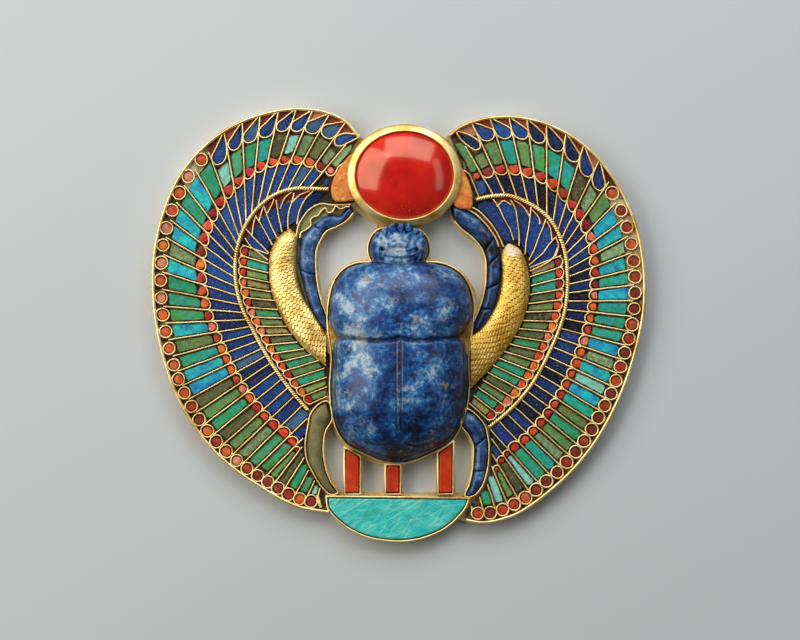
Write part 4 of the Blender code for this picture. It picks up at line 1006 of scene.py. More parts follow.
def sunDisc():
    look = discLook
    inner = look["stoneShare"]
    ring = [(1.0, look["foot"])] + [(share, height * mm) for share, height in look["collar"]]
    ring += [(0.849, look["foot"]), (1.0, look["foot"])]
    addPiece("discCollar", toMesh(spun(ring, look), "collar"), collarGold, ("disc_ring",))
    dome = [(inner, look["foot"]), (inner, look["edge"] - 0.2 * mm), (inner * 0.998, look["edge"])]
    for angle in np.linspace(0.03, 1, 26):
        reach = inner * 0.995 * math.cos(angle * math.pi / 2)
        rise = (1 - (reach / inner) ** 2.15) ** 0.92      # flatter than a ball: a low cabochon
        dome.append((max(reach, 0.0), look["edge"] + (look["crest"] - look["edge"]) * rise))
    dome.append((0.0, look["foot"]))
    dome.append((inner, look["foot"]))
    addPiece("sunDisc", toMesh(spun(dome, look), "disc"), discStone, ("sun_disc",))


def discFinish(look):
    # polished carnelian cabochon: glassy surface, a little light inside, faint cloudy bands and specks
    made, tree, shader, point = newMaterial("polishedCarnelian", {
        "Roughness": look["roughness"], "IOR": 1.54, "Subsurface Weight": 0.12, "Subsurface Scale": 0.002,
        "Subsurface Radius": (1.0, 0.25, 0.1), "Specular Tint": hexColour("E6F2C4"), "Coat Weight": 0.3,
        "Coat Roughness": 0.15})
    cloud = addNode(tree, "TexNoise", {"Vector": point, "Scale": 1 / 6.0, "Detail": 4.0,
                                       "Roughness": 0.5})
    colour = addNode(tree, "ValToRGB", {"Fac": cloud},
                     stops=[(0.3, "A3120E"), (0.5, "BE1A14"), (0.72, "CC2A1C")])
    speck = addNode(tree, "TexNoise", {"Vector": point, "Scale": 1 / 0.5, "Detail": 3.0})
    away = addNode(tree, "VectorMath", {0: point, 1: (0.4, 25.0, 6.5)}, operation="DISTANCE")
    bruised = addNode(tree, "MapRange", {"Value": away.outputs["Value"], 1: 0.8, 2: 3.4, 3: 0.1, 4: 0.0})
    both = addNode(tree, "Math", {0: speck, 1: bruised}, operation="ADD")
    spots = addNode(tree, "MapRange", {"Value": both, 1: 0.69, 2: 0.76, 3: 0.0, 4: 0.5})
    mixed = addNode(tree, "Mix", {0: spots, 6: colour, 7: hexColour("D8604A")},
                    data_type="RGBA")
    feed(tree, shader, {"Base Color": mixed.outputs[2]})
    bump = addNode(tree, "Bump", {"Height": cloud, "Strength": 0.05, "Distance": 0.0002})
    feed(tree, shader, {"Normal": bump})
    return made


discStone = discFinish(discLook)
sunDisc()
print("disc done")

# the scarab

scarabRows = (
    (19.6, -1.8, 1.9, 4.4), (18.7, -4.6, 4.5, 5.8), (17.1, -5.6, 5.7, 7.2), (14.8, -5.9, 6, 8.2),
    (12.8, -5.2, 5.1, 8.2), (12.4, -8, 8, 8.8), (11.6, -10.3, 10.4, 9.6), (10.2, -11.9, 12.5, 10.6),
    (7.8, -13.2, 14, 11.8), (4.5, -13.9, 14.9, 12.6), (1.1, -14.1, 14.7, 12.9),
    (-1.5, -13.1, 13.1, 12.7), (-2.6, -12.3, 12.2, 12.6), (-3.4, -13.2, 13.5, 12.8),
    (-6.2, -13.3, 13.8, 13), (-13.1, -13.6, 13.9, 13), (-17.1, -13.3, 13.3, 12.3),
    (-20.6, -12.4, 12.1, 11), (-23.4, -10.7, 10.2, 9.2), (-25.6, -7, 6.3, 6.8), (-27.5, -1.6, 1.3, 4))
scarabLook = {"foot": plateTop, "edge": 4.2 * mm, "across": 220, "lengthwise": 330, "neck": 13.6 * mm,
              "samples": 900}
grooves = (      # line, width and depth in mm: cut with a graver, so V-shaped and fine
    ([
        (-13.3, -1.8), (-12.3, -2.4), (-9.9, -2.6), (-0.3, -2.6), (0.3, -2.4), (0.9, -2.6),
        (10.4, -2.6), (12.6, -2.5), (13.8, -1.8)], 0.34, 0.8),
    ([(-12.7, -1.5), (-10.9, -2.1), (-0.5, -2.2), (0.1, -2), (0.9, -2.2), (10.8, -2.1), (13, -1.5)], 0.22,
     0.12),
    ([(-0.5, -3), (-0.5, -7), (-0.5, -13.1), (-0.4, -21.2)], 0.2, 0.24),
    ([(0.5, -3), (0.5, -7), (0.5, -13.1), (0.5, -21.2)], 0.2, 0.24),
    ([(-13.5, 9), (-13.6, 5.1), (-13.5, 1.5), (-12.7, -0.9)], 0.2, 0.14),
    ([(14.4, 8.2), (14.5, 4.7), (14.2, 1.5), (13.2, -0.9)], 0.2, 0.14),
    ([
        (-12.5, -4), (-12.6, -8), (-12.8, -13.1), (-12.5, -17.1), (-11.7, -20.2), (-10.1, -22.6),
        (-7.8, -24.4), (-4.8, -25.7), (-1.8, -26.5), (0.1, -26.8)], 0.24, 0.22),
    ([
        (12.9, -4), (13.1, -8), (13.1, -13.1), (12.7, -17.1), (11.8, -20.2), (10, -22.6), (8, -24),
        (4.9, -25.3), (1.9, -26.4), (0.1, -26.8)], 0.24, 0.22),
    ([(-11.2, -3.9), (-10.3, -5.5), (-9.3, -3.8)], 0.2, 0.2),
    ([(9.8, -3.9), (10.2, -5.2), (11, -5.3), (11.4, -4)], 0.2, 0.14),
    ([(-6.6, -23.4), (-5, -23.9), (-3, -23.8), (-1.8, -23.3)], 0.25, 0.14),
    ([(1.1, -23.4), (2.7, -24), (5.1, -23.9), (6.7, -23.3)], 0.25, 0.14),
    ([(-5.2, 12.7), (-2.8, 12.5), (0.1, 12.4), (2.7, 12.5), (5.1, 12.7)], 0.4, 0.5),
    ([(-2.6, 18.7), (-2, 17.3), (-1.6, 15.8), (0.3, 15.6), (1.9, 15.8), (2.3, 17.3), (2.9, 18.7)], 0.32,
     0.6),
    ([(-3.4, 15.4), (-1.6, 14.9), (0.3, 14.7), (2.1, 14.9), (3.7, 15.4)], 0.34, 0.65),
    ([(-3.4, 15.3), (-3.7, 14), (-3.2, 12.8)], 0.34, 0.5),
    ([(3.7, 15.3), (4, 14), (3.5, 12.8)], 0.34, 0.5),
    ([(-2.8, 13.8), (0.3, 13.5), (3.1, 13.8)], 0.25, 0.3),
    ([(-4.4, 18.1), (-3.2, 16.7), (-3.3, 15.3)], 0.32, 0.5),
    ([(4.7, 18.1), (3.5, 16.7), (3.6, 15.3)], 0.32, 0.5),
    ([(-2.4, 17.7), (0.3, 17.3), (2.7, 17.7)], 0.25, 0.25),
    ([(-1.6, 19.5), (-1.2, 18.5)], 0.3, 0.4), ([(0.3, 19.5), (0.3, 18.5)], 0.3, 0.4),
    ([(1.9, 19.5), (1.5, 18.5)], 0.3, 0.4),
)
swellings = (      # centre, radii and height in mm: eyes, brow plate, shoulder knobs
    ((-4.6, 16.1), (1.3, 2.4), 0.7), ((4.9, 16.1), (1.3, 2.4), 0.7),
    ((0.2, 16.9), (2.0, 1.2), 0.5), ((0.2, 14.1), (3.2, 0.9), 0.4),
    ((-4, 13.6), (1.0, 0.8), 0.4), ((4.3, 13.6), (1.0, 0.8), 0.4),
    ((-3, 19.3), (0.7, 0.7), 0.35), ((-1.2, 19.5), (0.7, 0.7), 0.35),
    ((1.3, 19.5), (0.7, 0.7), 0.35), ((3.1, 19.1), (0.7, 0.7), 0.35),
)


teeth = (      # the ragged front edge of the head: centre, half sizes and height in mm
    ((-2.8, 19), (0.75, 0.95), 4.7), ((-1.2, 19.7), (0.85, 1.1), 4.9), ((0.4, 19.8), (0.8, 1.15), 5.0),
    ((1.9, 19.6), (0.85, 1.0), 4.9), ((3.4, 19), (0.7, 0.9), 4.7), ((-4.1, 18.3), (0.7, 0.8), 4.6),
    ((4.5, 18.3), (0.65, 0.8), 4.6),
)


def toSegments(spots, line):
    # distance from every spot to a line
    best = np.full(len(spots), 1.0)
    for a, b in zip(line, line[1:]):
        run = b - a
        t = np.clip(((spots - a) @ run) / max(run @ run, 1e-12), 0, 1)
        best = np.minimum(best, np.hypot(*(spots - a - t[:, None] * run).T))
    return best


def carvedScarab():
    look = scarabLook
    count = look["samples"]
    rows = np.array([row[:3] for row in scarabRows]) * span / 100
    crests = np.array([row[3] for row in scarabRows]) * mm
    dense = np.linspace(rows[0, 0], rows[-1, 0], count)
    order = np.argsort(rows[:, 0])
    leftEdge = np.interp(dense, rows[order, 0], rows[order, 1])
    rightEdge = np.interp(dense, rows[order, 0], rows[order, 2])
    kernel = np.hanning(25)
    kernel /= kernel.sum()
    soften = lambda values: np.convolve(np.pad(values, 12, mode="edge"), kernel, mode="valid")
    leftEdge, rightEdge = soften(leftEdge), soften(rightEdge)
    crestLine = soften(soften(np.interp(dense, rows[order, 0], crests[order])))
    sideA, sideB = np.stack([leftEdge, dense], 1), np.stack([rightEdge, dense], 1)
    # rows of the grid are evenly spaced along the outline, so the round end is as fine as the sides
    reach = reachAlong((sideB - sideA) / 2 * (1, 0) + sideA * (0, 1))
    reach /= reach[-1]
    even = np.interp(np.linspace(0, 1, count), reach, np.linspace(0, 1, count))
    pick = lambda values: np.interp(even, np.linspace(0, 1, count), values)
    sideA = np.stack([pick(sideA[:, 0]), pick(sideA[:, 1])], 1)
    sideB = np.stack([pick(sideB[:, 0]), pick(sideB[:, 1])], 1)
    crestLine = pick(crestLine)

    shape = bmesh.new()
    grooveAndBezelShadeLayer = shape.verts.layers.float.new("grooveAndBezelShade")
    bmesh.ops.create_grid(shape, x_segments=look["across"], y_segments=look["lengthwise"], size=0.5)
    verts = list(shape.verts)
    spots = np.array([vert.co[:2] for vert in verts]) + 0.5
    u, v = spots.T
    u = u + 0.5 * (0.5 - 0.5 * np.cos(u * math.pi) - u)      # more of the grid near the edges
    at = v * (count - 1)
    read = lambda values: np.interp(at, np.arange(count), values)
    x = read(sideA[:, 0]) + (read(sideB[:, 0]) - read(sideA[:, 0])) * u
    y = read(sideA[:, 1])
    flat = np.stack([x, y], 1)
    crest = read(crestLine)
    edge = np.minimum(look["edge"], crest - 1.2 * mm)
    section = (1 - np.abs(2 * u - 1) ** 2.6) ** 0.62
    z = edge + (crest - edge) * section
    grooveAndBezelShade = np.zeros(len(flat))
    # painted shade in the grooves: each groove darkens the colour as well as cutting the surface, less on
    # the head
    for line, width, depth in grooves:
        cut = np.exp(-(toSegments(flat, smooth(line, 40)) / (width * mm)) ** 1.6)
        z -= depth * mm * cut
        dark = 0.35 if place(line)[0, 1] > look["neck"] else min(1.0, 0.5 + 2 * depth)
        grooveAndBezelShade = np.maximum(grooveAndBezelShade, cut * dark)
    inward = (0.5 - np.abs(u - 0.5)) * (read(sideB[:, 0]) - read(sideA[:, 0]))
    # painted shade along the bezel, where the stone meets the gold, standing also for the dark cement
    # line squeezed up there
    grooveAndBezelShade = np.maximum(grooveAndBezelShade, 0.8 * np.exp(-(inward / (0.45 * mm)) ** 2))
    for centre, radii, height in swellings:
        near = ((flat - place([centre])[0]) / (np.array(radii) * mm)) ** 2
        z += height * mm * np.exp(-near.sum(axis=1) * 1.2)
    for i, (px, py) in enumerate(flat):
        z[i] += 0.05 * mm * noise.noise(Vector((px * 330, py * 330, 1.0)))
        z[i] += 0.018 * mm * noise.noise(Vector((px * 1500, py * 1500, 4.0)))
        if py > look["neck"]:      # the head is cut more roughly
            z[i] += 0.22 * mm * noise.noise(Vector((px * 900, py * 900, 9.0)))
    z = np.minimum(z, 12.98 * mm)
    for vert, (px, py), pz, shadeAmount in zip(verts, flat, z, grooveAndBezelShade):
        vert.co = (px, py, pz)
        vert[grooveAndBezelShadeLayer] = shadeAmount
    closeBelow(shape, look["foot"])
    rng = random.Random(4)
    for centre, size, height in teeth:      # chipped points, left with their facets
        stand = Matrix.Translation((*place([centre])[0], height * mm))
        stand = stand @ Matrix.Diagonal((size[0] * mm, size[1] * mm, 1.2 * mm, 1))
        for vert in bmesh.ops.create_icosphere(shape, subdivisions=2, radius=1, matrix=stand)["verts"]:
            vert.co += Vector([rng.uniform(-0.17, 0.17) * mm for _ in range(3)])
    addPiece("carvedScarab", toMesh(shape, "scarab"), scarabStone, ("scarab",))


def lapisFinish(name, look):
    # lapis lazuli, carved and polished by hand: deep blue, white calcite clouds, brassy pyrite and
    # brown flecks
    made, tree, shader, point = newMaterial(name, {"IOR": 1.5, "Specular IOR Level": 0.36,
                                                   "Coat Weight": look["coat"],
                                                   "Coat Roughness": 0.28})
    big = addNode(tree, "TexNoise", {"Vector": point, "Scale": 1 / look["cloudMm"], "Detail": 8.0,
                                     "Roughness": 0.6})
    fine = addNode(tree, "TexNoise", {"Vector": point, "Scale": 1 / look["grainMm"], "Detail": 5.0,
                                      "Roughness": 0.75})
    mixedNoise = addNode(tree, "Math", {0: fine, 1: look["grain"], 2: big},
                         operation="MULTIPLY_ADD")
    level = mixedNoise
    for (x, y), reach, weight in look["zones"]:      # paler or darker zones added to the pattern level
        away = addNode(tree, "VectorMath", {0: point, 1: (x, y, look["zoneHeight"])},
                       operation="DISTANCE")
        near = addNode(tree, "MapRange", {"Value": away.outputs["Value"], 1: 0.0, 2: reach * 1.3,
                                          3: weight, 4: 0.0},
                       interpolation_type="SMOOTHSTEP")
        level = addNode(tree, "Math", {0: level, 1: near}, operation="ADD")
    base = addNode(tree, "ValToRGB", {"Fac": level}, stops=look["colours"])
    fleck = addNode(tree, "TexNoise", {"Vector": point, "Scale": 1 / look["fleckMm"], "Detail": 3.5,
                                       "Roughness": 0.7})
    cluster = addNode(tree, "TexNoise", {"Vector": point, "Scale": 1 / 4.5, "Detail": 2.0})
    together = addNode(tree, "Math", {0: cluster, 1: 0.5, 2: fleck},
                       operation="MULTIPLY_ADD")
    amount = addNode(tree, "MapRange", {"Value": together, 1: look["fleckFrom"],
                                        2: look["fleckFrom"] + 0.07, 3: 0.0, 4: 0.8})
    tone = addNode(tree, "ValToRGB", {"Fac": fine}, stops=look["flecks"])
    flecked = addNode(tree, "Mix", {0: amount, 6: base, 7: tone},
                      data_type="RGBA")
    # painted shade in the grooves and along the bezel, read from the attribute the scarab mesh carries
    # and mixed towards near-black blue
    grooveAndBezelShade = addNode(tree, "Attribute", attribute_name="grooveAndBezelShade")
    paintedShadeAmount = addNode(tree, "Math", {0: grooveAndBezelShade.outputs["Fac"], 1: 0.8}, operation="MULTIPLY")
    withPaintedShade = addNode(tree, "Mix", {0: paintedShadeAmount, 6: flecked.outputs[2], 7: hexColour("060B18")},
                       data_type="RGBA")
    feed(tree, shader, {"Base Color": withPaintedShade.outputs[2]})
    rough = addNode(tree, "MapRange", {"Value": fine, 1: 0.3, 2: 0.7, 3: look["roughness"] - 0.06,
                                       4: look["roughness"] + 0.12})
    feed(tree, shader, {"Roughness": rough})
    bump = addNode(tree, "Bump", {"Height": fine, "Strength": 0.22, "Distance": 0.0001})
    feed(tree, shader, {"Normal": bump})
    return made


scarabStone = lapisFinish("carvedLapis", {
    "cloudMm": 5.0, "grainMm": 0.9, "grain": 0.62, "coat": 0.12, "fleckMm": 1.5, "fleckFrom": 0.858,
    "flecks": [(0.4, "6A563E"), (0.58, "8C8670")], "roughness": 0.34, "zoneHeight": 8.0,
    # zones: paler on the left of the pronotum and the upper left elytron, partly pale calcite and partly
    # a painted highlight where the key light falls; paler at the right of the pronotum and on the head,
    # the stone's own tone; darker at the bottom and on the right elytron, painted shade
    "zones": (((-7.5, 4.0), 8.0, 0.14), ((9.0, 6.0), 5.5, 0.08), ((-10.0, -7.5), 8.0, 0.12),
              ((-3.4, 17.5), 3.0, 0.16),
              ((3.2, 19.0), 3.2, 0.16), ((0.3, 14.6), 2.2, 0.1), ((3.0, -26), 9.0, -0.14),
              ((13.0, -14), 7.5, -0.09)),
    "colours": [(0.6, "02081A"), (0.7, "082452"), (0.81, "144684"), (0.91, "4076A4"), (0.99, "96A8B6")]})
legStone = lapisFinish("legLapis", {
    "cloudMm": 3.0, "grainMm": 0.5, "grain": 0.55, "coat": 0.3, "fleckMm": 0.7, "fleckFrom": 0.9,
    "flecks": [(0.4, "7C6240"), (0.55, "8C866E")], "roughness": 0.32, "zoneHeight": 3.6,
    # zones: paler near the top of the left foreleg, darker along the right foreleg
    "zones": (((-18.6, 18.0), 2.9, 0.16), ((19.5, 16), 9.0, -0.12), ((18, 5), 7.0, -0.06)),
    "colours": [(0.56, "030A1C"), (0.69, "0C2852"), (0.82, "184680"), (0.93, "4C749E"), (1.0, "90A4B0")]})
carvedScarab()
print("scarab done")

# legs, bars, bowl, cheeks and their walls

legs = {
    "leftForeleg": {"nodes": ["left_foreleg_stone_1", "left_foreleg_stone_2", "left_foreleg_stone_3"],
                    "tip": 14,
        "joints": (0.27, 0.585), "outline": [
            (-9.7, 24.2), (-10.9, 23.2), (-12, 22.1), (-13.5, 22.3), (-15.1, 22.2), (-16.6, 21.1),
            (-18.2, 19.6), (-19.6, 17.7), (-20.2, 15.3), (-20.2, 12.6), (-19.6, 9.8), (-18.8, 6.8),
            (-17.6, 3.3), (-15.7, 0.1), (-14.4, -1.1), (-14.7, 1.7), (-15.7, 4.5), (-16.4, 7.2),
            (-16.8, 10), (-17, 12.8), (-16.8, 15.3), (-15.9, 17.5), (-14.7, 19.2), (-12.7, 20.1),
            (-10.9, 21.1), (-9.3, 22.9)]},
    "rightForeleg": {"nodes": ["right_foreleg_stone_1", "right_foreleg_stone_2", "right_foreleg_stone_3",
        "right_foreleg_stone_4", "right_foreleg_stone_5"], "tip": 12,
        "joints": (0.33, 0.44, 0.62, 0.78), "outline": [
            (10.8, 24.5), (13.2, 23.6), (15.2, 22.3), (17.1, 20.7), (18.5, 19.3), (19.7, 17.3),
            (20.5, 14.4), (20.7, 11.2), (20.3, 7.8), (19.5, 4.1), (18.1, 0.7), (16.5, -1.1),
            (14.8, -2.2), (15, -0.3), (16.1, 2.3), (17, 4.7), (17.7, 7.8), (17.9, 10.8), (17.8, 13.2),
            (16.9, 15.7), (15, 17.9), (12.8, 19.7), (11.4, 21.3)]},
    "leftHindLeg": {"nodes": ["left_hind_leg"], "tip": 9, "joints": (), "outline": [
        (-14.7, -15.5), (-16.3, -16.3), (-17.6, -17.9), (-18.2, -20.6), (-18.7, -24.2), (-18.4, -27.1),
        (-17.1, -29.9), (-15.3, -32.7), (-13.7, -34.1), (-12.5, -33.9), (-13.7, -32.1), (-14.7, -29.7),
        (-15.3, -26.9), (-15.4, -23.8), (-14.9, -21.2), (-13.7, -19.2)]},
    "rightHindLeg": {"nodes": ["right_hind_leg_stone_1", "right_hind_leg_stone_2",
                               "right_hind_leg_stone_3"],
        "tip": 8, "joints": (0.33, 0.66), "outline": [
            (13.8, -17.1), (15.9, -18.6), (17.3, -20.4), (18, -23.2), (18.1, -26.4), (17.7, -29.5),
            (16.7, -32.5), (15.2, -34.3), (13.6, -34.5), (14.4, -32.5), (15, -29.9), (15.3, -26.9),
            (15.2, -24), (14.2, -22), (12.8, -20.2)]},
}
legLook = {"foot": plateTop, "edge": 2.7 * mm, "crest": 3.95 * mm, "jointGap": 0.16 * mm,
           "shrink": 0.12 * mm,
           "chips": 0.3 * mm, "ripple": 0.09 * mm}


def legStones(name, leg):
    # each leg is cut from rods of stone, rounded across and butted end to end
    look = legLook
    outline = leg["outline"]
    outer = smooth(outline[:leg["tip"] + 1], 90)
    inner = smooth(outline[:leg["tip"] - 1:-1], 90)
    marks = [0.0, *leg["joints"], 1.0]
    reach = lengthOf((outer + inner) / 2)
    for number, (a, b) in enumerate(zip(marks, marks[1:])):
        gap = look["jointGap"] / 2 / reach
        share = np.linspace(a + gap, b - gap, 60)
        sideA, sideB = along(outer, share), along(inner, share)
        width = sideB - sideA
        size = np.maximum(np.hypot(*width.T), 1e-9)[:, None]
        cut = np.minimum(look["shrink"] / size, 0.3)
        sideA, sideB = sideA + width * cut, sideB - width * cut

        def heights(u, v, flat, first=number == 0):
            section = np.sqrt(np.clip(1 - np.abs(2 * u - 1) ** 2.2, 0, 1))
            ends = np.minimum(1, np.minimum(v, 1 - v) * reach * (b - a) / (0.35 * mm))
            narrow = np.interp(v, np.linspace(0, 1, 60), np.clip(size[:, 0] / (2.4 * mm), 0.25, 1))
            rise = (look["crest"] - look["edge"]) * narrow
            chips = look["chips"] if first and "Foreleg" in name else look["ripple"]
            wavy = np.array([noise.noise(Vector((x * 650, y * 650, 7.0))) for x, y in flat]) * chips
            return look["edge"] + rise * section * (0.75 + 0.25 * np.sqrt(ends)) + wavy * section

        shape = domedGrid(sideA, sideB, 16, max(12, int(70 * (b - a))), look["foot"], heights)
        piece = name + "Stone" + str(number + 1)
        if name == "leftHindLeg":
            paint = shape.loops.layers.float_color.new("tint")
            for face in shape.faces:
                for loop in face.loops:
                    loop[paint] = (*hexColour("6E6842")[:3], 0.15)
        material = pasteInlay if name == "leftHindLeg" else legStone
        addPiece(piece, toMesh(shape, piece), material, (leg["nodes"][number],))


for name, leg in legs.items():
    legStones(name, leg)

bars = {
    "left_bar": [(-10.7, -25.2), (-8, -26.6), (-8, -33.9), (-10.7, -33.9)],
    "middle_bar": [(-2.4, -28.5), (0.1, -28.5), (0.1, -33.9), (-2.4, -33.9)],
    "right_bar": [(8.2, -25.8), (10.8, -24), (10.8, -33.9), (8.2, -33.9)]}
bowl = [
    (-14.3, -34.9), (-14.1, -36.8), (-12.9, -38.4), (-10.9, -40.2), (-8.6, -41.6), (-5.8, -42.7),
    (-3, -43.2), (0.1, -43.4), (2.7, -43.2), (5.5, -42.5), (8, -41.5), (10.2, -40.1), (12, -38.4),
    (13.4, -36.6), (13.9, -35.2)]
cheeks = {
    "left_cheek": [
        (-9.7, 34.7), (-11.3, 32.9), (-12.7, 30.8), (-13.6, 28.6), (-13.7, 26.6), (-13.1, 25.2),
        (-10.5, 25),
        (-8.6, 25.4)],
    "right_cheek": [
        (12.6, 32.3), (13.6, 30.6), (14.4, 28.8), (14.9, 26.8), (15, 24.8), (14.9, 23.6), (13.6, 23.4),
        (11.2, 24.2), (10.8, 26.2)]}
barLook = {"seed": 21, "foot": plateTop, "top": 3.75 * mm, "shoulder": 0.28 * mm, "uneven": 0.08 * mm,
           "tilt": 0.01,
           "sink": 0.0}
cheekLook = {"seed": 22, "foot": plateTop, "top": 4.3 * mm, "shoulder": 0.45 * mm, "uneven": 0.05 * mm,
             "tilt": 0.03,
             "sink": 0.0}
stoneRng = random.Random(77)
for node, outline in bars.items():
    name = node.split("_")[0] + "Bar"
    ring = worn(grow(place(outline), -0.05 * mm), stoneRng, {**stoneWear, "corner": 0.25 * mm})
    setStones(name, [ring], [(*hexColour("B03008")[:3], 0.0)], barLook, barInlay, (node,))
for node, outline in cheeks.items():
    name = node.split("_")[0] + "Cheek"
    ring = grow(smooth(outline, 26, True), -0.05 * mm)
    setStones(name, [ring], [(*hexColour("C97A32")[:3], 0.0)], cheekLook, cheekInlay, (node,))


def bowlFinish(look):
    # pale-veined turquoise-green stone, flat polished
    made, tree, shader, point = newMaterial("streakedBowlStone", {"IOR": 1.55, "Roughness": 0.3})
    slanted = addNode(tree, "Mapping", {"Vector": point, "Rotation": (0, 0, 0.4),
                                        "Scale": (2.2, 1.0, 1.0)},
                      vector_type="TEXTURE")
    streak = addNode(tree, "TexNoise", {"Vector": slanted, "Scale": 1 / look["streakMm"], "Detail": 6.0,
                                        "Roughness": 0.65})
    colour = addNode(tree, "ValToRGB", {"Fac": streak}, stops=look["colours"])
    last = colour
    for turn, reach, depth in look["veins"]:
        crossed = addNode(tree, "Mapping", {"Vector": point, "Rotation": (0, 0, turn),
                                            "Scale": (reach, 0.42, 1.0)},
                          vector_type="TEXTURE")
        vein = addNode(tree, "TexNoise", {"Vector": crossed, "Scale": 1.0, "Detail": 4.0})
        thin = addNode(tree, "MapRange", {"Value": vein, 1: 0.55, 2: 0.68, 3: 0.0, 4: depth})
        last = addNode(tree, "Mix", {0: thin, 6: last, 7: hexColour("A8E0D2")},
                       data_type="RGBA").outputs[2]
    feed(tree, shader, {"Base Color": last})
    bump = addNode(tree, "Bump", {"Height": streak, "Strength": 0.12, "Distance": 0.0002})
    feed(tree, shader, {"Normal": bump})
    return made


bowlStone = bowlFinish({"streakMm": 1.3,
                        "veins": ((1.05, 5.0, 0.3), (0.55, 7.0, 0.36), (0.12, 6.0, 0.3),
                                  (-0.5, 4.0, 0.2)),
                        "colours": [(0.34, "2CA08E"), (0.5, "10ACAC"), (0.64, "42C0B4")]})
bowlLook = {"seed": 24, "foot": plateTop, "top": 3.3 * mm, "shoulder": 0.35 * mm, "uneven": 0.0,
            "tilt": 0.0, "sink": 0.0}
bowlRing = grow(smooth(bowl, 44), -0.12 * mm)
setStones("bowlStone", [bowlRing], [(*hexColour("1DAFA4")[:3], 0.0)], bowlLook, bowlStone, ("bowl",))

strips = {      # two upright strips along each foreleg, paste between them; the left inner one is wavy
    "left": ([
        (-9.7, 24.5), (-11.9, 24.4), (-13.9, 24.4), (-15.7, 24.6), (-17.1, 24.1), (-18.6, 22.9),
        (-19.6, 21.5), (-20.3, 20.1), (-20.6, 18.7), (-20.8, 17.1)],
             [
                 (-9.9, 24.1), (-10.9, 23.9), (-11.7, 23.5), (-12.7, 24.1), (-13.4, 23), (-14.2, 22.8),
                 (-14.9, 23.7), (-15.7, 23.1), (-16.4, 22.2), (-17.3, 21.9), (-17.8, 21.4),
                 (-17.7, 20.3), (-18.8, 19.3), (-19.7, 18.8), (-20, 17.7)]),
    "right": ([(14, 24.2), (16.1, 23.2), (17.9, 21.5), (19.3, 19.7), (20.4, 17.9), (21.2, 15.9)],
              [(13.6, 23.7), (15.4, 22.6), (17.3, 20.9), (18.7, 19.1), (19.8, 17.3), (20.3, 15.9)])}
stripPaste = {"left": [
    (-9.9, 24.3), (-13.9, 24.3), (-15.7, 24.4), (-16.9, 24), (-18.4, 22.8), (-19.4, 21.4),
    (-20.1, 20.1), (-20.4, 18.7), (-20.2, 17.5), (-19.4, 17.7), (-18.2, 19.7), (-16.1, 21.1),
    (-13.9, 22.7), (-11.9, 23.8)],
              "right": [
                  (13.9, 24), (16.1, 23), (17.9, 21.3), (19.3, 19.5), (20.3, 17.7), (20.9, 15.9),
                  (20.3, 15.9), (19.7, 17.3), (18.6, 19.1), (17.2, 20.9), (15.3, 22.6), (13.6, 23.6)]}
wallLook = {"thin": 0.36 * mm, "thick": 0.44 * mm, "low": 1.05 * mm, "high": 3.45 * mm,
            "waist": (-4, -1.1)}


waistFills = [      # sheet gold in the corners where the stone narrows
    [
        (-14.6, 1.5), (-13.8, 0.7), (-13.1, -0.9), (-12.3, -2.6), (-13.1, -4.2), (-13.7, -6.2),
        (-14.4, -5.4), (-14.7, -3), (-14.7, -0.1)],
    [
        (15, 1.5), (14.3, 0.7), (13.2, -1.1), (12.3, -2.6), (13.3, -4.2), (13.9, -6), (14.6, -5),
        (14.9, -3), (15.1, -0.1)]]


def centreWalls():
    look = wallLook
    thin, thick = [], []
    for name, leg in legs.items():
        if "Hind" in name:
            thin.append((grow(smooth(leg["outline"], 70, True), 0.2 * mm), True))
        else:      # only the side towards the head: the other lies against the strip and the crescent
            inner = smooth(leg["outline"][leg["tip"]:], 60)
            thin.append((beside(inner, 0.2 * mm if name == "leftForeleg" else -0.2 * mm), False))
    for outline in bars.values():
        thin.append((grow(place(outline), 0.3 * mm), True))
    low, high = look["waist"]      # the bezel runs straight past the waist
    edge = [row for row in scarabRows if not low < row[0] < high]
    slabOf("waistGold", [place(outline) for outline in waistFills], 1.05 * mm, 3.3 * mm, fillGold)
    body = np.array([(row[1], row[0]) for row in edge] + [(row[2], row[0]) for row in edge[::-1]])
    thick.append((grow(curveThrough(place(body), 150, True), 0.36 * mm), True))
    thick.append((grow(smooth(bowl, 44), 0.3 * mm), True))
    for outer, inner in strips.values():
        thin += [(smooth(outer, 40), False), (smooth(inner, 60), False)]
    shape = bmesh.new()
    for group, width in ((thin, look["thin"]), (thick, look["thick"])):
        mesh = wires(group, width, look["low"], look["high"], 0.05 * mm)
        shape.from_mesh(mesh)
        bpy.data.meshes.remove(mesh)
    addPiece("centreWalls", toMesh(shape, "centreWalls"), wallGold, ("centre_cell_walls",))
    for side, colour, top in (("left", "7C7A54", 2.7), ("right", "4E3216", 2.8)):
        setStones(side + "StripPaste", [place(stripPaste[side])], [(*hexColour(colour)[:3], 0.1)],
                  {**fillerLook, "top": top * mm, "uneven": 0.0}, pasteInlay)
    beds = [grow(smooth(leg["outline"], 60, True), 0.15 * mm) for leg in legs.values()]
    beds += [grow(place(outline), 0.2 * mm) for outline in bars.values()]
    beds += [grow(smooth(outline, 26, True), 0.2 * mm) for outline in cheeks.values()]
    beds.append(grow(smooth(bowl, 44), 0.2 * mm))
    slabOf("centreBeds", beds, bedFoot, 2.35 * mm, darkCement)


centreWalls()
print("legs, bars, bowl and walls done")

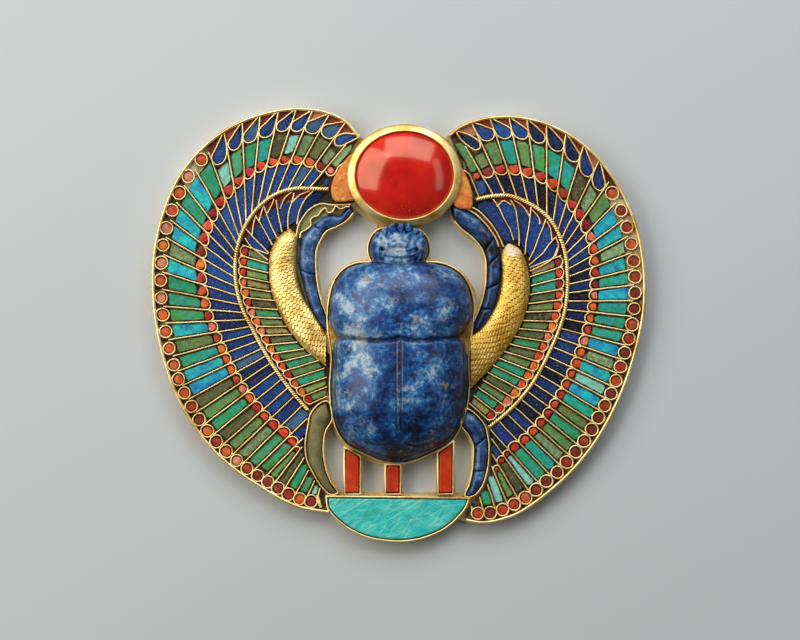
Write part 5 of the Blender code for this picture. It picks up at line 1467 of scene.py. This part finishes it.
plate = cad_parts["base_plate"]
for slotOne in plate.material_slots:
    slotOne.material = plateGold

# floor, lights and camera

stageLook = {"floor": "AEB6BC", "camera": (0.28 * mm, 1.14 * mm, 947.7 * mm), "lens": 200,
             "world": "98948A",
             "worldStrength": 0.35, "floorDrop": 0.02 * mm}
floorMesh = bpy.data.meshes.new("floor")
shape = bmesh.new()
bmesh.ops.create_grid(shape, x_segments=1, y_segments=1, size=1.5)
shape.to_mesh(floorMesh)
shape.free()
floor = bpy.data.objects.new("floor", floorMesh)
floor.location.z = -stageLook["floorDrop"]
bpy.context.scene.collection.objects.link(floor)
floorMesh.materials.append(newMaterial("palePaperFloor", {
    "Roughness": 0.7, "Base Color": hexColour(stageLook["floor"])})[0])

world = bpy.data.worlds.new("studio")
bpy.context.scene.world = world
world.use_nodes = True
world.node_tree.nodes["Background"].inputs["Color"].default_value = hexColour(stageLook["world"])
world.node_tree.nodes["Background"].inputs["Strength"].default_value = stageLook["worldStrength"]


def softbox(name, look):
    light = bpy.data.lights.new(name, "AREA")
    light.shape = "RECTANGLE"
    light.size, light.size_y = look["size"]
    light.energy = look["power"]
    light.color = hexColour(look["colour"])[:3]
    made = bpy.data.objects.new(name, light)
    made.location = look["from"]
    made.rotation_euler = Vector(look["from"]).to_track_quat("Z", "Y").to_euler()
    bpy.context.scene.collection.objects.link(made)


softbox("keySoftbox", {"size": (0.72, 0.46), "power": 4.4, "colour": "FFF4E6",
                       "from": (-0.455, 0.15, 0.40)})
softbox("topSoftbox", {"size": (0.64, 0.42), "power": 3.3, "colour": "FFFFFF",
                       "from": (0.06, 0.47, 0.40)})
softbox("sideStrip", {"size": (0.5, 0.11), "power": 0.3, "colour": "FFFFFF", "from": (0.42, 0.06, 0.42)})

camera = bpy.data.objects.new("camera", bpy.data.cameras.new("camera"))
camera.data.lens = stageLook["lens"]
camera.data.sensor_width = 36
camera.data.clip_end = 10
camera.location = stageLook["camera"]
bpy.context.scene.collection.objects.link(camera)
bpy.context.scene.camera = camera
bpy.context.scene.view_settings.view_transform = "Standard"
